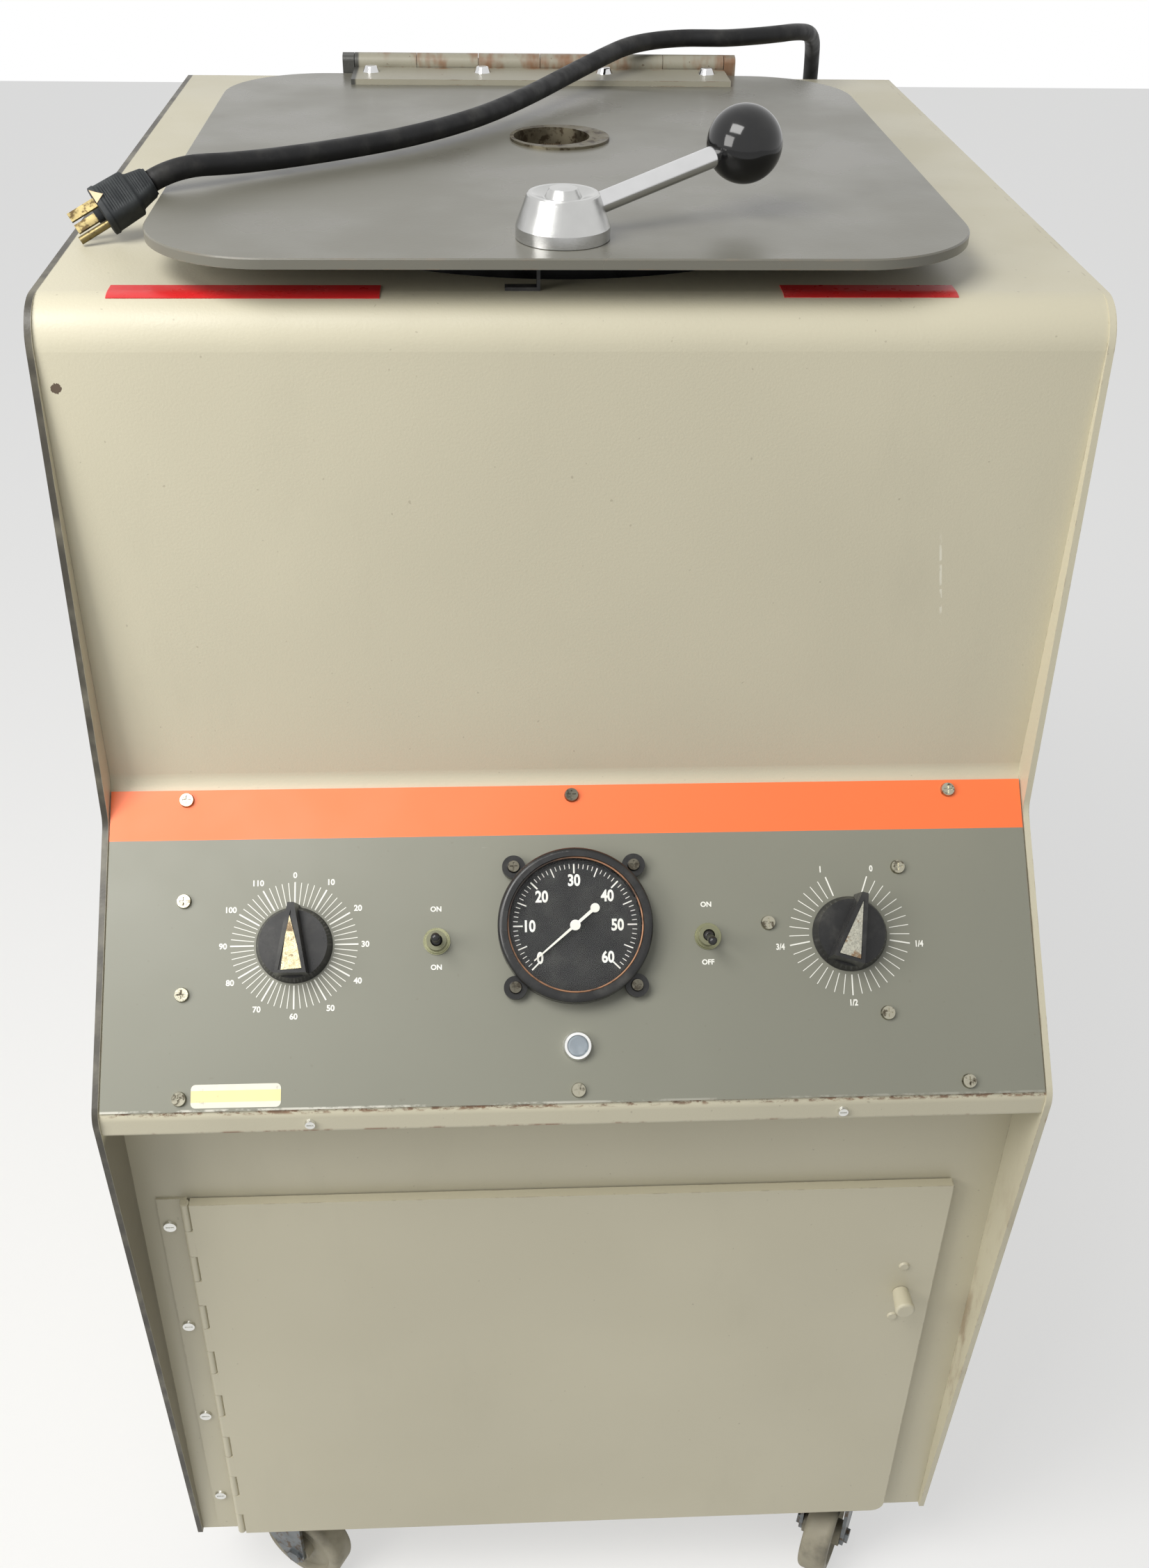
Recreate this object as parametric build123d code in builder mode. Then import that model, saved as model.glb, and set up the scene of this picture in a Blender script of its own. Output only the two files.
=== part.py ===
"""Floor-standing laboratory centrifuge: sheet-metal cabinet, hinged lid, swing-out rotor.

Frame: X to the right, the front faces -Y, Z up from the floor. Origin under the middle of the cabinet.
"""
import os
from math import atan2, cos, pi, radians, sin, tan

from build123d import *

os.makedirs("parts", exist_ok=True)

# Cabinet
WIDTH = 610.0
DEPTH = 779.0
BODY_HEIGHT = 988.0
CASTER_HEIGHT = 100.0
SHEET = 1.8
HEM = 4.0
HEM_DEPTH = 48.0
TOP_BEND = 26.0
UPPER_SETBACK = 159.0
KINK_SETBACK = 138.0
KINK_HEIGHT = 657.0
KINK_ROUND = 14.0
NOSE_HEIGHT = 527.0
NOSE_ROUND = 16.0
TOE_SETBACK = 40.0
LOWER_PANEL_SETBACK = 44.0
LIP_HEIGHT = 18.0
LIP_INSET = 2.5

FRONT = -DEPTH / 2
BACK = DEPTH / 2
BASE = CASTER_HEIGHT
TOP = CASTER_HEIGHT + BODY_HEIGHT
INNER_X = WIDTH / 2 - HEM
SHEET_X = WIDTH / 2 - SHEET
UPPER_Y = FRONT + UPPER_SETBACK
KINK = (FRONT + KINK_SETBACK, BASE + KINK_HEIGHT)
NOSE = (FRONT, BASE + NOSE_HEIGHT)
LOWER_PANEL_Y = FRONT + LOWER_PANEL_SETBACK

# Running clearances and fits
RUN = 0.05
CLEAR = 0.3
SIDE_PLAY = 0.4

# Desk: the sloped control face
DESK_SLOPE = atan2(NOSE[1] - KINK[1], NOSE[0] - KINK[0])
DOWN_Y = cos(DESK_SLOPE)
DOWN_Z = sin(DESK_SLOPE)
DESK = Plane(origin=(0, KINK[0], KINK[1]), x_dir=(1, 0, 0), z_dir=(0, DOWN_Z, -DOWN_Y))
PLATE = 2.0
PLATE_EDGE = 1.0
PLATE_HALF = INNER_X - PLATE_EDGE
PLATE_TOP = -20.5
PLATE_BOTTOM = 185.5

# Desk furniture: x across, s down the desk from the kink
TIMER = (-180.3, 82.0)
POWER = (-89.2, 81.3)
GAUGE = (0.0, 73.4)
BRAKE = (86.4, 81.3)
SPEED = (179.3, 81.3)
LAMP = (0.0, 150.0)
SCREW_INSET = 49.0
SCREW_X = PLATE_HALF - SCREW_INSET
SCREW_ROWS = (-13.8, 52.6, 112.4, 177.5)
SPEED_SCREWS = ((213.9, 37.8), (126.3, 73.2), (201.3, 133.0))
LIP_SCREW_X = 170.0

SHAFT_R = 3.2
CONTROL_R = 50.0
KNOB_SKIRT_R = 24.5
KNOB_TOP_R = 21.8
KNOB_SKIRT = 8.0
KNOB_HEIGHT = 22.0
KNOB_TIP = 26.0
KNOB_GAP = 0.6
SPEED_REST = 17.0

GAUGE_R = 50.0
GAUGE_INNER_R = 44.0
GAUGE_BODY_R = 41.0
GAUGE_BODY_DEPTH = 52.0
GAUGE_RISE = 15.0
GAUGE_FLANGE = 6.0
GAUGE_DIAL_RISE = 6.5
GAUGE_GLASS = 2.0
GAUGE_GLASS_DROP = 2.0
LUG_XY = 39.0
LUG_R = 7.5
GAUGE_LUGS = [(dx, ds) for dx in (-LUG_XY, LUG_XY) for ds in (-LUG_XY, LUG_XY)]
POINTER_REST = -130.0
POINTER_LENGTH = 35.0
POINTER_TAIL = 17.0
POINTER_THICK = 0.8
POINTER_HUB_R = 3.4
POINTER_LIFT = 1.6
SPINDLE_R = 1.2
SPINDLE = 8.0

TOGGLE_BORE_R = 6.7
TOGGLE_BUSHING_R = 6.4
TOGGLE_BUSHING_RISE = 7.0
TOGGLE_WASHER_R = 8.7
TOGGLE_WASHER = 0.9
TOGGLE_NUT_R = 7.9
TOGGLE_NUT = 1.8
TOGGLE_BODY = (30.0, 20.0, 32.0)
TIMER_BODY = (62.0, 58.0, 44.0)
TIMER_CORNER = 5.0
TERMINAL_PITCH = (18.0, 30.0)
TERMINAL = (6.0, 1.0, 8.0)
SHAFT_SOCKET = 20.0
CONTROL_FLANGE = 10.0
CONTROL_FLANGE_STEP = 5.0
CONTROL_DRUM = 52.0
CONTROL_CAP = 6.0
BAT_BALL_R = 3.6
BAT_LENGTH = 21.0
BAT_TIP_R = 2.9
BAT_ROOT_R = 1.9
BAT_PIVOT = 5.2
BAT_TILT = 17.0

LAMP_R = 9.7
LAMP_LENS_R = 6.8
LAMP_RISE = 5.0
LAMP_BODY_R = 8.0
LAMP_BODY_DEPTH = 34.0

SCREW_HEAD_R = 4.8
SCREW_HEAD = 2.6
SCREW_SHANK_R = 2.3
SCREW_LENGTH = 9.0
SCREW_SLOT = 1.0

# Lid and bowl: they share one vertical axis
LID_X = -8.0
BOWL_Y = 17.0
BOWL_R = 190.0
BOWL_WALL = 2.0
BOWL_DEPTH = 232.0
RIM_R = 200.0
RIM_RISE = 10.0
GASKET_R = 198.0
GASKET_INNER_R = 190.0
GASKET = 9.8
LID_WIDTH = 477.0
LID_DEPTH = 496.0
LID_CORNER = 74.0
LID = 6.0
SIGHT_SETBACK = 30.0
SIGHT_X = 2.7
SIGHT_R = 34.0
SIGHT_BORE_R = 26.0
SIGHT_WALL = 2.0
SIGHT_SHIFT = 5.5
SIGHT_RISE = 1.8
SIGHT_DEPTH = 9.0
SIGHT_SCREEN = 2.0
LID_BOTTOM = TOP + RIM_RISE + GASKET
LID_TOP = LID_BOTTOM + LID
BOWL_FLOOR = TOP - BOWL_DEPTH

# Lid hinge
HINGE_LENGTH = 294.0
HINGE_SHIFT = 2.0
BARREL_R = 7.0
PIN_R = 3.5
KNUCKLES = 6
LEAF = 4.0
LEAF_FRONT = 44.0
HINGE_BACK = 9.5
HINGE_Y = BOWL_Y + LID_DEPTH / 2 + HINGE_BACK
HINGE_Z = LID_TOP + BARREL_R - 0.4
HINGE_X = LID_X + HINGE_SHIFT
CHEEK = 9.0
LEAF_SCREWS = (-131.0, -44.0, 52.0, 133.0)
WEB = 6.0
WEB_GAP = 1.5
FOOT = 34.0
FOOT_THICK = 4.0
LEAF_SCREW_Y = 24.0
DOME_R = 6.5
DOME = 4.5

# Latch lever on the lid
LATCH_SETBACK = 41.0
HUB_BASE_R = 26.7
HUB_TOP_R = 19.6
HUB_BAND = 7.0
HUB_HEIGHT = 24.5
HUB_DISH = 2.2
LEVER_ANGLE = 22.0
LEVER_REACH = 114.0
LEVER_Z = 10.5
BALL_Z = 41.0
ROD_R = 6.0
BALL_R = 21.8
LATCH_SHAFT_R = 5.0
CAM_REACH = 18.0
CAM_WIDTH = 10.0
CAM = 5.0
CAM_DROP = 3.6
NUT_R = 10.5
NUT_DOME = 4.6
KEEPER = 2.0
KEEPER_GAP = 0.7
KEEPER_DEPTH = 6.5
KEEPER_FOOT = 20.0
LATCH_Y = BOWL_Y - LID_DEPTH / 2 + LATCH_SETBACK

# Rotor
SHAFT = 11.0
SHOULDER = 3.0
HEAD_Z = BOWL_FLOOR + 118.0
HEAD_R = 116.0
HEAD = 26.0
HEAD_HUB_R = 30.0
HEAD_HUB = 18.0
POCKET_WIDTH = 62.0
POCKET_ROOT_R = 52.0
PIVOT_R = 86.0
TRUNNION_R = 4.0
TRUNNION = 7.0
BUCKET_R = 25.0
BUCKET_WALL = 2.2
BUCKET_BASE = 4.0
BUCKET_ROUND = 6.0
BUCKET_COLLAR_R = 28.5
BUCKET_COLLAR = 14.0
BUCKET_BELOW = 74.0
BUCKET_ABOVE = 12.0
BUCKETS = 4

# Motor
MOTOR_R = 88.0
MOTOR_BODY = 190.0
MOTOR_GAP = 34.0
MOTOR_FLANGE_R = 138.0
MOTOR_FLANGE = 8.0
MOTOR_BOSS_R = 28.0
MOTOR_BOSS = 16.0
MOTOR_TOP = BOWL_FLOOR - MOTOR_GAP
MOTOR_BOTTOM = MOTOR_TOP - MOTOR_BODY
FLANGE_RISE = 72.0
FLANGE_Z = MOTOR_BOTTOM + FLANGE_RISE
SHAFT_ROOT = 30.0
BRUSH_R = 13.0
BRUSH_RISE = 32.0
BRUSH_PROUD = 4.0
SHELF_CLEAR = 6.0
MOUNT_R = 18.0
MOUNT = 30.0
MOUNT_CIRCLE = 118.0
SHELF = 3.0
SHELF_FRONT = -130.0
SHELF_BACK = 175.0
SHELF_FLANGE = 30.0

# Door in the lower front panel
DOOR_INSET = 37.0
DOOR_LIFT = 3.0
DOOR_HEIGHT = 402.0
DOOR_LEFT = -(WIDTH / 2 - DOOR_INSET)
DOOR_RIGHT = WIDTH / 2 - DOOR_INSET
DOOR_BOTTOM = BASE + DOOR_LIFT
DOOR_TOP = DOOR_BOTTOM + DOOR_HEIGHT
DOOR_DEPTH = 7.0
DOOR_SHEET = 1.5
DOOR_CORNER = 10.0
DOOR_GAP = 1.0
OPENING_MARGIN = 24.0
OPENING_LATCH_MARGIN = 10.0
DOOR_LEAF = 20.0
DOOR_LEAF_CORNER = 9.0
DOOR_BARREL_R = 3.2
DOOR_PIN_R = 1.2
DOOR_KNUCKLES = 15
DOOR_SCREWS = (378.0, 268.0, 158.0, 50.0)
DOOR_KNOB = (DOOR_RIGHT - 23.0, 291.0)
DOOR_KNOB_R = 7.4
DOOR_KNOB_LENGTH = 18.0
DOOR_RIVETS = ((DOOR_RIGHT - 24.0, 320.0), (DOOR_RIGHT - 25.5, 263.0))
DOOR_RIVET_R = 4.0
DOOR_CAM = (24.0, 12.0, 2.0)
DOOR_FACE_Y = LOWER_PANEL_Y - DOOR_GAP - DOOR_DEPTH
DOOR_AXIS = (DOOR_LEFT, LOWER_PANEL_Y - DOOR_SHEET - DOOR_BARREL_R)

# Cooling slots in the back panel
VENT_X = 130.0
VENT_RISE = 560.0
VENT_LENGTH = 120.0
VENT_WIDTH = 7.0
VENT_PITCH = 16.8
VENT_ROWS = 7

# Casters
CASTER_INSET = 65.0
CASTER_FRONT_INSET = 81.5
CASTER_BACK_INSET = 62.0
CASTER_X = WIDTH / 2 - CASTER_INSET
CASTER_FRONT_Y = FRONT + CASTER_FRONT_INSET
CASTER_BACK_Y = BACK - CASTER_BACK_INSET
CASTER_PLATE = 66.0
CASTER_PLATE_SHEET = 3.0
WHEEL_R = 38.0
WHEEL_WIDTH = 24.0
CASTER_TRAIL = 22.0
FORK = 3.0
FORK_WIDTH = 34.0
AXLE_R = 4.0
AXLE_BOSS_R = 9.0
AXLE_NUT = 3.0
AXLE_NUT_R = 7.0
FORK_FRONT = 18.0
FORK_BACK = 30.0
RACE_R = 24.0
RACE = 7.0
RACE_TOP = BASE - CASTER_PLATE_SHEET
CROWN = 7.0
CROWN_TOP = RACE_TOP - RACE - SIDE_PLAY
KINGPIN_R = 5.0
KINGPIN_NUT_Z = CROWN_TOP - CROWN - SIDE_PLAY
KINGPIN_NUT_R = 8.0
KINGPIN_NUT = 4.0
WHEEL_HUB_R = 11.0
WHEEL_WEB_R = 27.0
CASTER_PLACES = {
    "front_left": (-CASTER_X, CASTER_FRONT_Y, -30.0),
    "front_right": (CASTER_X, CASTER_FRONT_Y, -118.0),
    "rear_left": (-CASTER_X, CASTER_BACK_Y, 60.0),
    "rear_right": (CASTER_X, CASTER_BACK_Y, 118.0),
}

# Mains cord: route points chosen by hand, plug end first
CORD_R = 6.5
PLUG_FACE = (-281.4, -108.0, 1105.0)
PLUG_BACK = (-252.0, -96.0, 1120.0)
PLUG_R = 16.5
PLUG_TAIL_R = 8.5
PLUG_ROLL = 52.0
PLUG_RIM = 4.0
PLUG_GRIP = 21.0
PLUG_RIBS = 8
PLUG_GROOVE = 0.7
BLADE_SPACING = 12.7
BLADE = (6.35, 1.5, 18.0)
EARTH_PIN_R = 2.4
EARTH_PIN = 20.0
EARTH_PIN_DROP = 11.9
CORD_SPLIT_X = 129.0
CORD_OVER_LID = [
    PLUG_BACK,
    (-237.4, -90.0, 1127.5),
    (-203.0, -66.0, 1123.5),
    (-156.0, -34.0, 1122.5),
    (-102.0, 6.0, 1123.0),
    (-54.0, 62.0, 1124.0),
    (-17.0, 123.0, 1127.0),
    (14.0, 180.0, 1130.5),
    (42.0, 228.0, 1134.0),
    (62.0, 258.0, 1136.5),
    (86.0, 280.0, 1137.0),
    (111.0, 291.0, 1137.0),
    (CORD_SPLIT_X, 291.0, 1137.0),
]
CORD_BEHIND = [
    (CORD_SPLIT_X, 291.0, 1137.0),
    (147.0, 291.0, 1137.0),
    (184.0, 305.0, 1137.5),
    (214.0, 334.0, 1136.0),
    (231.0, 374.0, 1126.0),
    (239.0, 410.0, 1100.0),
    (243.0, 431.0, 1054.0),
    (244.0, 438.0, 990.0),
    (246.0, 438.0, 860.0),
    (250.0, 440.0, 700.0),
    (250.0, 446.0, 540.0),
    (254.0, 456.0, 400.0),
    (252.0, 472.0, 272.0),
    (214.0, 490.0, 206.0),
    (142.0, 508.0, 204.0),
    (98.0, 522.0, 260.0),
    (90.0, 522.0, 346.0),
    (90.0, 476.0, 400.0),
    (90.0, BACK + 26.0, 400.0),
]
GLAND_R = 14.0
GLAND_TIP_R = 8.5
GLAND_COLLAR = 6.0
GLAND_LENGTH = 26.0


def save(part, name):
    """Label one finished piece and write its file."""
    part.label = name
    export_step(part, f"parts/{name}.step")


def desk_place(place, rise=0.0):
    """A plane on the desk at (x, s), raised along the desk's normal."""
    across, down = place
    return Plane(origin=DESK.from_local_coords(Vector(across, -down, rise)), x_dir=DESK.x_dir, z_dir=DESK.z_dir)


def turned(plane, angle):
    """The same plane turned in itself, anticlockwise seen from its front."""
    return Plane(origin=plane.origin, x_dir=plane.x_dir.rotate(Axis((0, 0, 0), plane.z_dir), angle), z_dir=plane.z_dir)


def outline_points():
    """Side view of the cabinet, as (y, z), from the back bottom corner over the top to the toe."""
    return [
        (BACK, BASE),
        (BACK, TOP),
        (UPPER_Y, TOP),
        KINK,
        NOSE,
        (FRONT + TOE_SETBACK, BASE),
    ]


def make_side_panel(name, side):
    """A flat sheet with a hemmed border folded to its inner face."""
    outer = Plane.YZ.offset(side * WIDTH / 2)
    inner = Plane.YZ.offset(side * SHEET_X)
    rounds = [0, 0, TOP_BEND, KINK_ROUND, NOSE_ROUND, 0]
    with BuildPart() as panel:
        with BuildSketch(outer):
            with BuildLine():
                FilletPolyline(*outline_points(), radius=rounds, close=True)
            make_face()
        extrude(amount=-side * HEM)
        with BuildSketch(inner):
            with BuildLine():
                FilletPolyline(*outline_points(), radius=rounds, close=True)
            make_face()
            offset(amount=-HEM_DEPTH, kind=Kind.INTERSECTION, mode=Mode.REPLACE)
        extrude(amount=-side * HEM, mode=Mode.SUBTRACT)
    save(panel.part, name)


def cover_section(inset):
    """The wrapped cover's outer line, or the same line moved in by inset, as (y, z) points and radii."""
    slope = tan(DESK_SLOPE)
    sheet_drop = (PLATE + inset) / abs(DOWN_Y)
    upper = UPPER_Y + inset
    lip = FRONT + LIP_INSET + inset
    bend_z = KINK[1] + (upper - KINK[0]) * slope - sheet_drop
    nose_z = KINK[1] + (lip - KINK[0]) * slope - sheet_drop
    lip_bottom = NOSE[1] - LIP_HEIGHT + inset
    points = [
        (BACK - SHEET, TOP - inset),
        (upper, TOP - inset),
        (upper, bend_z),
        (lip, nose_z),
        (lip, lip_bottom),
        (LOWER_PANEL_Y, lip_bottom),
    ]
    return points, [TOP_BEND - inset, KINK_ROUND + inset, 8.0 - inset, 3.5 - inset]


def cut_desk_holes(margin):
    """Sketch the desk's openings, each wider by margin, for the cover under the plate or the plate."""
    with Locations((TIMER[0], -TIMER[1]), (SPEED[0], -SPEED[1])):
        Circle(SHAFT_R + RUN + margin)
    with Locations((POWER[0], -POWER[1]), (BRAKE[0], -BRAKE[1])):
        Circle(TOGGLE_BORE_R + margin)
    with Locations((GAUGE[0], -GAUGE[1])):
        Circle(GAUGE_BODY_R + CLEAR + margin)
    with Locations((LAMP[0], -LAMP[1])):
        Circle(LAMP_BODY_R + CLEAR + margin)


def desk_screw_places():
    """Every pan-head screw on the control plate, as (x, s)."""
    places = [(side * SCREW_X, row) for side in (-1, 1) for row in SCREW_ROWS]
    places.remove((SCREW_X, SCREW_ROWS[1]))
    places.remove((SCREW_X, SCREW_ROWS[2]))
    places += [(0.0, SCREW_ROWS[0]), (0.0, SCREW_ROWS[3])]
    return places + list(SPEED_SCREWS)


def make_top_cover():
    outer, outer_rounds = cover_section(0.0)
    inner, inner_rounds = cover_section(SHEET)
    with BuildPart() as cover:
        with BuildSketch(Plane.YZ.offset(-INNER_X)):
            with BuildLine():
                FilletPolyline(*outer, radius=outer_rounds)
                FilletPolyline(*inner, radius=inner_rounds)
                Line(outer[0], inner[0])
                Line(outer[-1], inner[-1])
            make_face()
        extrude(amount=2 * INNER_X)
        with BuildSketch(Plane.XY.offset(TOP)):
            with Locations((LID_X, BOWL_Y)):
                Circle(BOWL_R + BOWL_WALL + CLEAR)
        extrude(amount=-3 * SHEET, mode=Mode.SUBTRACT)
        with BuildSketch(DESK):
            cut_desk_holes(1.0)
            with Locations(*[(x, -s) for x, s in desk_screw_places()]):
                Circle(SCREW_SHANK_R)
        extrude(amount=-3 * (PLATE + SHEET), mode=Mode.SUBTRACT)
        with BuildSketch(Plane.XZ.offset(-FRONT)):
            with Locations(*[(side * LIP_SCREW_X, NOSE[1] - LIP_HEIGHT / 2) for side in (-1, 1)]):
                Circle(SCREW_SHANK_R)
        extrude(amount=-3 * (LIP_INSET + SHEET), mode=Mode.SUBTRACT)
    save(cover.part, "top_cover")


def make_lower_front_panel():
    left = DOOR_LEFT + OPENING_MARGIN
    right = DOOR_RIGHT - OPENING_LATCH_MARGIN
    height = DOOR_TOP - DOOR_BOTTOM - 2 * OPENING_MARGIN
    with BuildPart() as panel:
        with BuildSketch(Plane.XZ.offset(-LOWER_PANEL_Y)):
            with Locations((0, (BASE + SHEET + NOSE[1] - LIP_HEIGHT + SHEET) / 2)):
                Rectangle(2 * INNER_X, NOSE[1] - LIP_HEIGHT - BASE)
            with Locations(((left + right) / 2, (DOOR_TOP + DOOR_BOTTOM) / 2)):
                RectangleRounded(right - left, height, DOOR_CORNER, mode=Mode.SUBTRACT)
        extrude(amount=-SHEET)
    save(panel.part, "lower_front_panel")


def make_back_panel():
    """Rear sheet with two banks of cooling slots and the cord's hole."""
    with BuildPart() as panel:
        with BuildSketch(Plane.XZ.offset(-(BACK - SHEET))):
            with Locations((0, (BASE + SHEET + TOP) / 2)):
                Rectangle(2 * INNER_X, TOP - BASE - SHEET)
            for bank_x in (-VENT_X, VENT_X):
                with Locations((bank_x, BASE + VENT_RISE)):
                    with GridLocations(0, VENT_PITCH, 1, VENT_ROWS):
                        SlotOverall(VENT_LENGTH, VENT_WIDTH, mode=Mode.SUBTRACT)
            with Locations((CORD_BEHIND[-1][0], CORD_BEHIND[-1][2])):
                Circle(CORD_R + 1.0, mode=Mode.SUBTRACT)
        extrude(amount=-SHEET)
    save(panel.part, "back_panel")


def make_base_plate():
    with BuildPart() as base:
        with BuildSketch(Plane.XY.offset(BASE)):
            with Locations((0, (LOWER_PANEL_Y + BACK) / 2)):
                Rectangle(2 * INNER_X, BACK - LOWER_PANEL_Y)
        extrude(amount=SHEET)
    save(base.part, "base_plate")


def make_control_plate():
    height = PLATE_BOTTOM - PLATE_TOP
    with BuildPart() as plate:
        with BuildSketch(DESK):
            with Locations((0, -(PLATE_TOP + PLATE_BOTTOM) / 2)):
                Rectangle(2 * PLATE_HALF, height)
        extrude(amount=-PLATE)
        with BuildSketch(DESK):
            cut_desk_holes(0.0)
            with Locations(*[(x, -s) for x, s in desk_screw_places()]):
                Circle(SCREW_SHANK_R)
        extrude(amount=-PLATE, mode=Mode.SUBTRACT)
    save(plate.part, "control_plate")


def pan_screw(plane, length=SCREW_LENGTH, head_r=SCREW_HEAD_R, head=SCREW_HEAD, cross=True):
    """One screw whose head stands on the plane."""
    with BuildPart() as screw:
        with BuildSketch(plane):
            Circle(head_r)
        extrude(amount=head, taper=12)
        with BuildSketch(plane):
            Circle(SCREW_SHANK_R - RUN)
        extrude(amount=-length)
        with BuildSketch(plane.offset(head)):
            Rectangle(1.2 * head_r, SCREW_SLOT)
            if cross:
                Rectangle(SCREW_SLOT, 1.2 * head_r)
        extrude(amount=-0.5 * head, mode=Mode.SUBTRACT)
    return screw.part


def make_panel_screws():
    """Pan-head screws of the control plate, the lip and the gauge's lugs."""
    lip_z = NOSE[1] - LIP_HEIGHT / 2
    with BuildPart() as screws:
        for place in desk_screw_places():
            add(pan_screw(desk_place(place)))
        for side in (-1, 1):
            lip = Plane(origin=(side * LIP_SCREW_X, FRONT + LIP_INSET, lip_z), x_dir=(1, 0, 0), z_dir=(0, -1, 0))
            add(pan_screw(lip, length=6.0, head_r=3.6, head=2.2, cross=False))
        for dx, ds in GAUGE_LUGS:
            place = (GAUGE[0] + dx, GAUGE[1] + ds)
            add(pan_screw(desk_place(place, GAUGE_FLANGE), length=GAUGE_FLANGE - 0.2, head_r=4.2))
    save(screws.part, "panel_screws")


def make_knob(name, place, rest):
    """Skirted pointer knob with its shaft, turned clockwise by rest degrees from straight up."""
    plane = turned(desk_place(place, KNOB_GAP), -rest)
    with BuildPart() as knob:
        with BuildSketch(plane):
            Circle(KNOB_SKIRT_R)
        with BuildSketch(plane.offset(KNOB_SKIRT)):
            Circle(KNOB_TOP_R)
        loft()
        with BuildSketch(plane):
            with BuildLine():
                Polyline(
                    (3.0, KNOB_TIP),
                    (-3.0, KNOB_TIP),
                    (-11.5, -KNOB_TOP_R + 1.0),
                    (11.5, -KNOB_TOP_R + 1.0),
                    close=True,
                )
            make_face()
        extrude(amount=KNOB_HEIGHT, taper=3)
        with BuildSketch(plane.offset(KNOB_HEIGHT)):
            with BuildLine():
                Polyline(
                    (0.0, KNOB_TIP - 6.0),
                    (-7.4, -KNOB_TOP_R + 4.0),
                    (7.4, -KNOB_TOP_R + 4.0),
                    close=True,
                )
            make_face()
        extrude(amount=-1.2, mode=Mode.SUBTRACT)
        with BuildSketch(plane):
            Circle(SHAFT_R)
        extrude(amount=-(KNOB_GAP + PLATE + 18.0))
    save(knob.part, name)


def make_timer_body():
    under = desk_place(TIMER, -PLATE - SHEET)
    width, height, depth = TIMER_BODY
    with BuildPart() as body:
        with BuildSketch(under):
            RectangleRounded(width, height, TIMER_CORNER)
        extrude(amount=-depth)
        with BuildSketch(under):
            Circle(SHAFT_R + RUN)
        extrude(amount=-SHAFT_SOCKET, mode=Mode.SUBTRACT)
        with BuildSketch(under.offset(-depth)):
            with GridLocations(*TERMINAL_PITCH, 3, 2):
                Rectangle(*TERMINAL[:2])
        extrude(amount=-TERMINAL[2])
    save(body.part, "timer_body")


def make_speed_control_body():
    """Round wound control with its wiper housing and terminal strip."""
    under = desk_place(SPEED, -PLATE - SHEET)
    with BuildPart() as body:
        with BuildSketch(under):
            Circle(CONTROL_R)
        extrude(amount=-CONTROL_FLANGE)
        with BuildSketch(under.offset(-CONTROL_FLANGE)):
            Circle(CONTROL_R - CONTROL_FLANGE_STEP)
        extrude(amount=-CONTROL_DRUM)
        with BuildSketch(under.offset(-CONTROL_FLANGE - CONTROL_DRUM)):
            Circle(CONTROL_R)
        extrude(amount=-CONTROL_CAP)
        with BuildSketch(under):
            Circle(SHAFT_R + RUN)
        extrude(amount=-SHAFT_SOCKET, mode=Mode.SUBTRACT)
    save(body.part, "speed_control_body")


def make_toggle_bodies():
    """Two switch bodies: each box hangs on its threaded bushing, which has the bat's socket."""
    width, height, depth = TOGGLE_BODY
    with BuildPart() as bodies:
        for place in (POWER, BRAKE):
            under = desk_place(place, -PLATE - SHEET)
            tip = desk_place(place, TOGGLE_BUSHING_RISE)
            with BuildSketch(under):
                RectangleRounded(height, width, 2.0)
            extrude(amount=-depth)
            with BuildSketch(under):
                Circle(TOGGLE_BUSHING_R)
            extrude(amount=PLATE + SHEET + TOGGLE_BUSHING_RISE)
            with BuildSketch(tip):
                Circle(BAT_BALL_R + CLEAR)
            extrude(amount=-(TOGGLE_BUSHING_RISE - BAT_PIVOT + BAT_BALL_R + CLEAR), mode=Mode.SUBTRACT)
    save(bodies.part, "toggle_bodies")


def make_panel_nuts():
    """Round dress nuts on the toggles, and the pilot lamp's bezel with its holder."""
    with BuildPart() as nuts:
        for place in (POWER, BRAKE):
            with BuildSketch(desk_place(place)):
                Circle(TOGGLE_WASHER_R)
                Circle(TOGGLE_BUSHING_R + RUN, mode=Mode.SUBTRACT)
            extrude(amount=TOGGLE_WASHER)
            with BuildSketch(desk_place(place, TOGGLE_WASHER)):
                Circle(TOGGLE_NUT_R)
                Circle(TOGGLE_BUSHING_R + RUN, mode=Mode.SUBTRACT)
            extrude(amount=TOGGLE_NUT)
        with BuildSketch(desk_place(LAMP)):
            Circle(LAMP_R)
        extrude(amount=LAMP_RISE, taper=14)
        with BuildSketch(desk_place(LAMP)):
            Circle(LAMP_BODY_R)
        extrude(amount=-LAMP_BODY_DEPTH)
        with BuildSketch(desk_place(LAMP, LAMP_RISE)):
            Circle(LAMP_LENS_R + RUN)
        extrude(amount=-LAMP_RISE - 6.0, mode=Mode.SUBTRACT)
    save(nuts.part, "panel_nuts")


def make_lamp_lens():
    with BuildPart() as lens:
        with BuildSketch(desk_place(LAMP, -6.0)):
            Circle(LAMP_LENS_R)
        extrude(amount=LAMP_RISE + 6.0)
        fillet(lens.faces().sort_by(Axis(DESK.origin, DESK.z_dir))[-1].edges(), 1.6)
    save(lens.part, "lamp_lens")


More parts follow.
